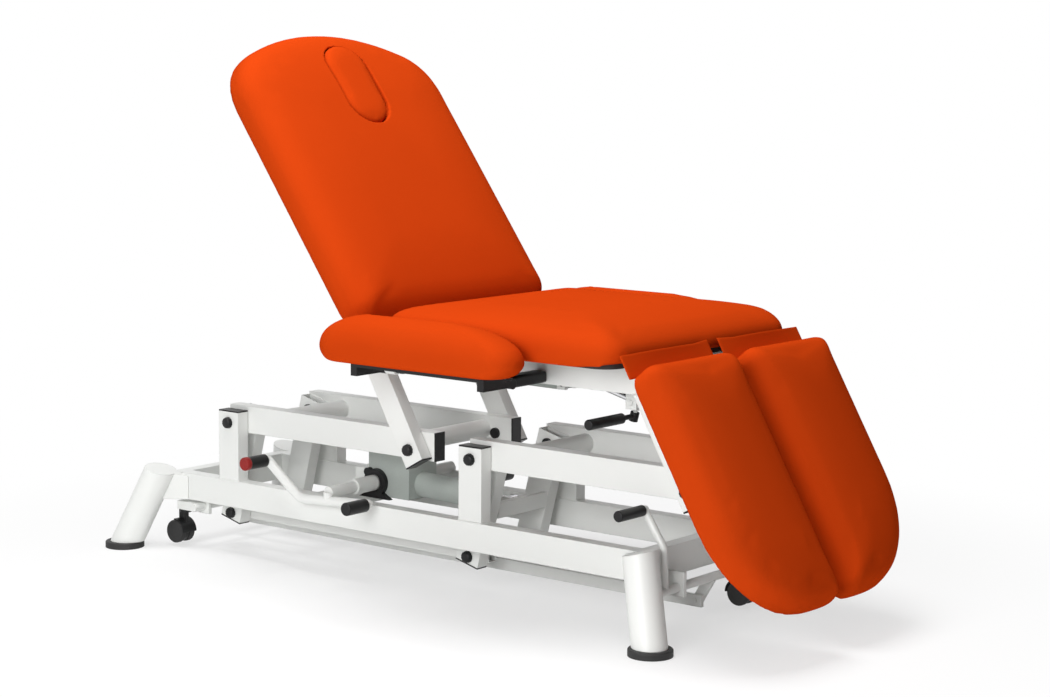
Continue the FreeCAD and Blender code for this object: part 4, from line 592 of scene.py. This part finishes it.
def bracket_sleeves():
    """Black mouldings over the bars that carry the armrests, from (place across, size) pairs."""
    count, half_x, half_z, squareness = 40, 0.0172, 0.0118, 5
    for which, side in SIDES.items():
        for place, x in BRACKET_X.items():
            work = bmesh.new()
            rings = []
            for y, size in SLEEVE:
                ring = []
                for k in range(count):
                    turn = 2.0 * math.pi * k / count
                    c, s = math.cos(turn), math.sin(turn)
                    reach = size * (abs(c) ** squareness + abs(s) ** squareness) ** (-1.0 / squareness)
                    ring.append(work.verts.new((x + MID_X + half_x * reach * c, side * y,
                                                BRACKET_Z + half_z * reach * s)))
                rings.append(ring)
            skin(work, rings)
            work.faces.new(rings[0])
            work.faces.new(rings[-1])
            fitted(f"{which}_{place}_bracket_sleeve", work, BLACK, "seat")


def grip_end():
    """Red end of the grip that lowers the chair."""
    cap = [(0.0, 0.0), (0.0143, 0.0), (0.0145, 0.0008), (0.0145, 0.0085), (0.0138, 0.0105),
           (0.0120, 0.0112), (0.0112, 0.0104), (0.0060, 0.0101), (0.0, 0.0100)]
    x, y, z = GRIP_END
    turned("red_grip_end", cap, (x + MID_X, y, z), (0.0, -1.0, 0.0), "pedal", RED)


def weld(name, line, body):
    """Weld bead along a closed line of corners, with its ripples."""
    bead, pitch, sides = 0.0022, 0.0024, 8
    line = [Vector(corner) for corner in line]
    centre = sum(line, Vector()) / len(line)
    work = bmesh.new()
    rings = []
    for a, b in zip(line, line[1:] + line[:1]):
        steps = max(4, int((b - a).length / pitch))
        along = (b - a).normalized()
        for k in range(steps):
            at = a.lerp(b, k / steps)
            out = at - centre
            out = (out - along * out.dot(along)).normalized()
            up = along.cross(out)
            size = bead * (1.0 + 0.16 * math.sin(2.0 * math.pi * k / 2.5) + 0.06 * math.sin(0.7 * k))
            turns = [2.0 * math.pi * j / sides for j in range(sides)]
            rings.append([work.verts.new(at + out * (size * math.cos(turn)) + up * (size * math.sin(turn)))
                          for turn in turns])
    skin(work, rings + rings[:1])
    fitted(name, work, WHITE, body)


def welds():
    """Beads where the posts stand on the rails and where the struts meet the seat rails."""
    strut_back = (SEAT_RAIL_LOW - ARM_PIVOT_Z) * math.tan(STRUT_LEAN)
    strut_half = STRUT_HALF / math.cos(STRUT_LEAN)
    for end, post in POST_X.items():
        strut = post + ARM_RUN - strut_back
        for which, side in SIDES.items():
            y0, y1 = side * TUBE_INNER, side * TUBE_OUTER
            for joint, x, half, z, body in (("post", post, POST_HALF, RAIL_TOP, "base"),
                                            ("strut", strut, strut_half, SEAT_RAIL_LOW, "seat")):
                x0, x1 = x - half + MID_X, x + half + MID_X
                weld(f"{end}_{which}_{joint}_weld",
                     [(x0, y0, z), (x1, y0, z), (x1, y1, z), (x0, y1, z)], body)


# Light, floor and camera

def area_light(name, place, target, size, power):
    lamp = bpy.data.lights.new(name, "AREA")
    lamp.shape = "RECTANGLE"
    lamp.size, lamp.size_y = size
    lamp.energy = power
    piece = placed(name, lamp)
    piece.location = place
    piece.rotation_euler = (Vector(target) - Vector(place)).to_track_quat("-Z", "Y").to_euler()


def seen_directly(tree):
    """1 for rays from the camera and for what metal and glass reflect or pass on, else 0."""
    path = tree.nodes.new("ShaderNodeLightPath")
    value = path.outputs["Is Camera Ray"]
    for name in ("Is Glossy Ray", "Is Transmission Ray"):
        either = tree.nodes.new("ShaderNodeMath")
        either.operation = "MAXIMUM"
        tree.links.new(value, either.inputs[0])
        tree.links.new(path.outputs[name], either.inputs[1])
        value = either.outputs["Value"]
    return value


def white_world():
    """Dim white light all round, seen as plain white."""
    world = bpy.data.worlds.new("studio")
    scene.world = world
    world.use_nodes = True
    tree = world.node_tree
    light = tree.nodes["Background"]
    light.inputs["Color"].default_value = (1.0, 1.0, 1.0, 1.0)
    light.inputs["Strength"].default_value = 0.12
    seen = tree.nodes.new("ShaderNodeBackground")
    seen.inputs["Color"].default_value = (1.0, 1.0, 1.0, 1.0)
    mix = tree.nodes.new("ShaderNodeMixShader")
    tree.links.new(seen_directly(tree), mix.inputs["Fac"])
    tree.links.new(light.outputs["Background"], mix.inputs[1])
    tree.links.new(seen.outputs["Background"], mix.inputs[2])
    tree.links.new(mix.outputs["Shader"], tree.nodes["World Output"].inputs["Surface"])


def pale_floor():
    """Paper floor that fades to white away from the chair and keeps its shadow."""
    half, level = 14.0, -0.0005
    mesh = bpy.data.meshes.new("floor")
    mesh.from_pydata([(-half, -half, level), (half, -half, level), (half, half, level), (-half, half, level)],
                     [], [(0, 1, 2, 3)])
    ground = placed("floor", mesh)
    paper = bpy.data.materials.new("floor_paper")
    paper.use_nodes = True
    tree = paper.node_tree
    shader = tree.nodes["Principled BSDF"]
    shader.inputs["Base Color"].default_value = (0.95, 0.95, 0.95, 1.0)
    shader.inputs["Roughness"].default_value = 0.9
    shader.inputs["Specular IOR Level"].default_value = 0.1
    white = tree.nodes.new("ShaderNodeEmission")
    white.inputs["Strength"].default_value = 1.0
    place = tree.nodes.new("ShaderNodeTexCoord")
    reach = tree.nodes.new("ShaderNodeVectorMath")
    reach.operation = "LENGTH"
    tree.links.new(place.outputs["Object"], reach.inputs[0])
    fade = tree.nodes.new("ShaderNodeMapRange")
    fade.interpolation_type = "SMOOTHSTEP"
    fade.inputs["From Min"].default_value = 0.5
    fade.inputs["From Max"].default_value = 1.7
    fade.inputs["To Min"].default_value = 0.58
    tree.links.new(reach.outputs["Value"], fade.inputs["Value"])
    share = tree.nodes.new("ShaderNodeMath")
    share.operation = "MULTIPLY"
    tree.links.new(fade.outputs["Result"], share.inputs[0])
    tree.links.new(seen_directly(tree), share.inputs[1])
    mix = tree.nodes.new("ShaderNodeMixShader")
    tree.links.new(share.outputs["Value"], mix.inputs["Fac"])
    tree.links.new(shader.outputs["BSDF"], mix.inputs[1])
    tree.links.new(white.outputs["Emission"], mix.inputs[2])
    tree.links.new(mix.outputs["Shader"], tree.nodes["Material Output"].inputs["Surface"])
    mesh.materials.append(paper)


def studio():
    white_world()
    area_light("key_softbox", (1.1, -3.8, 1.5), (0.0, 0.0, 0.5), (2.2, 1.6), 94.0)
    area_light("top_softbox", (0.0, -0.4, 3.6), (0.1, 0.0, 0.5), (2.0, 1.6), 114.0)
    pale_floor()


def camera():
    """The camera fitted to the photograph."""
    azimuth, pitch, roll = math.radians(38.629), math.radians(7.465), math.radians(0.448)
    x, y, z = 3.160, -3.6795, 1.1265
    focal_pixels, photo_width, sensor_width = 2300.1, 1050.0, 36.0
    back = Vector((math.sin(azimuth) * math.cos(pitch), -math.cos(azimuth) * math.cos(pitch),
                   math.sin(pitch)))
    right = Vector((math.cos(azimuth), math.sin(azimuth), 0.0))
    up = back.cross(right)
    right, up = (right * math.cos(roll) + up * math.sin(roll), up * math.cos(roll) - right * math.sin(roll))
    lens = bpy.data.cameras.new("camera")
    lens.sensor_width = sensor_width
    lens.sensor_fit = "HORIZONTAL"
    lens.lens = focal_pixels / photo_width * sensor_width
    piece = placed("camera", lens)
    turn = Matrix((right, up, back)).transposed().to_4x4()
    piece.matrix_world = Matrix.Translation((x + MID_X, y, z)) @ turn
    scene.camera = piece


scene.view_settings.view_transform = "Standard"
camera()
dress_frame()
upholstery()
bolt_covers()
bracket_sleeves()
grip_end()
welds()
studio()
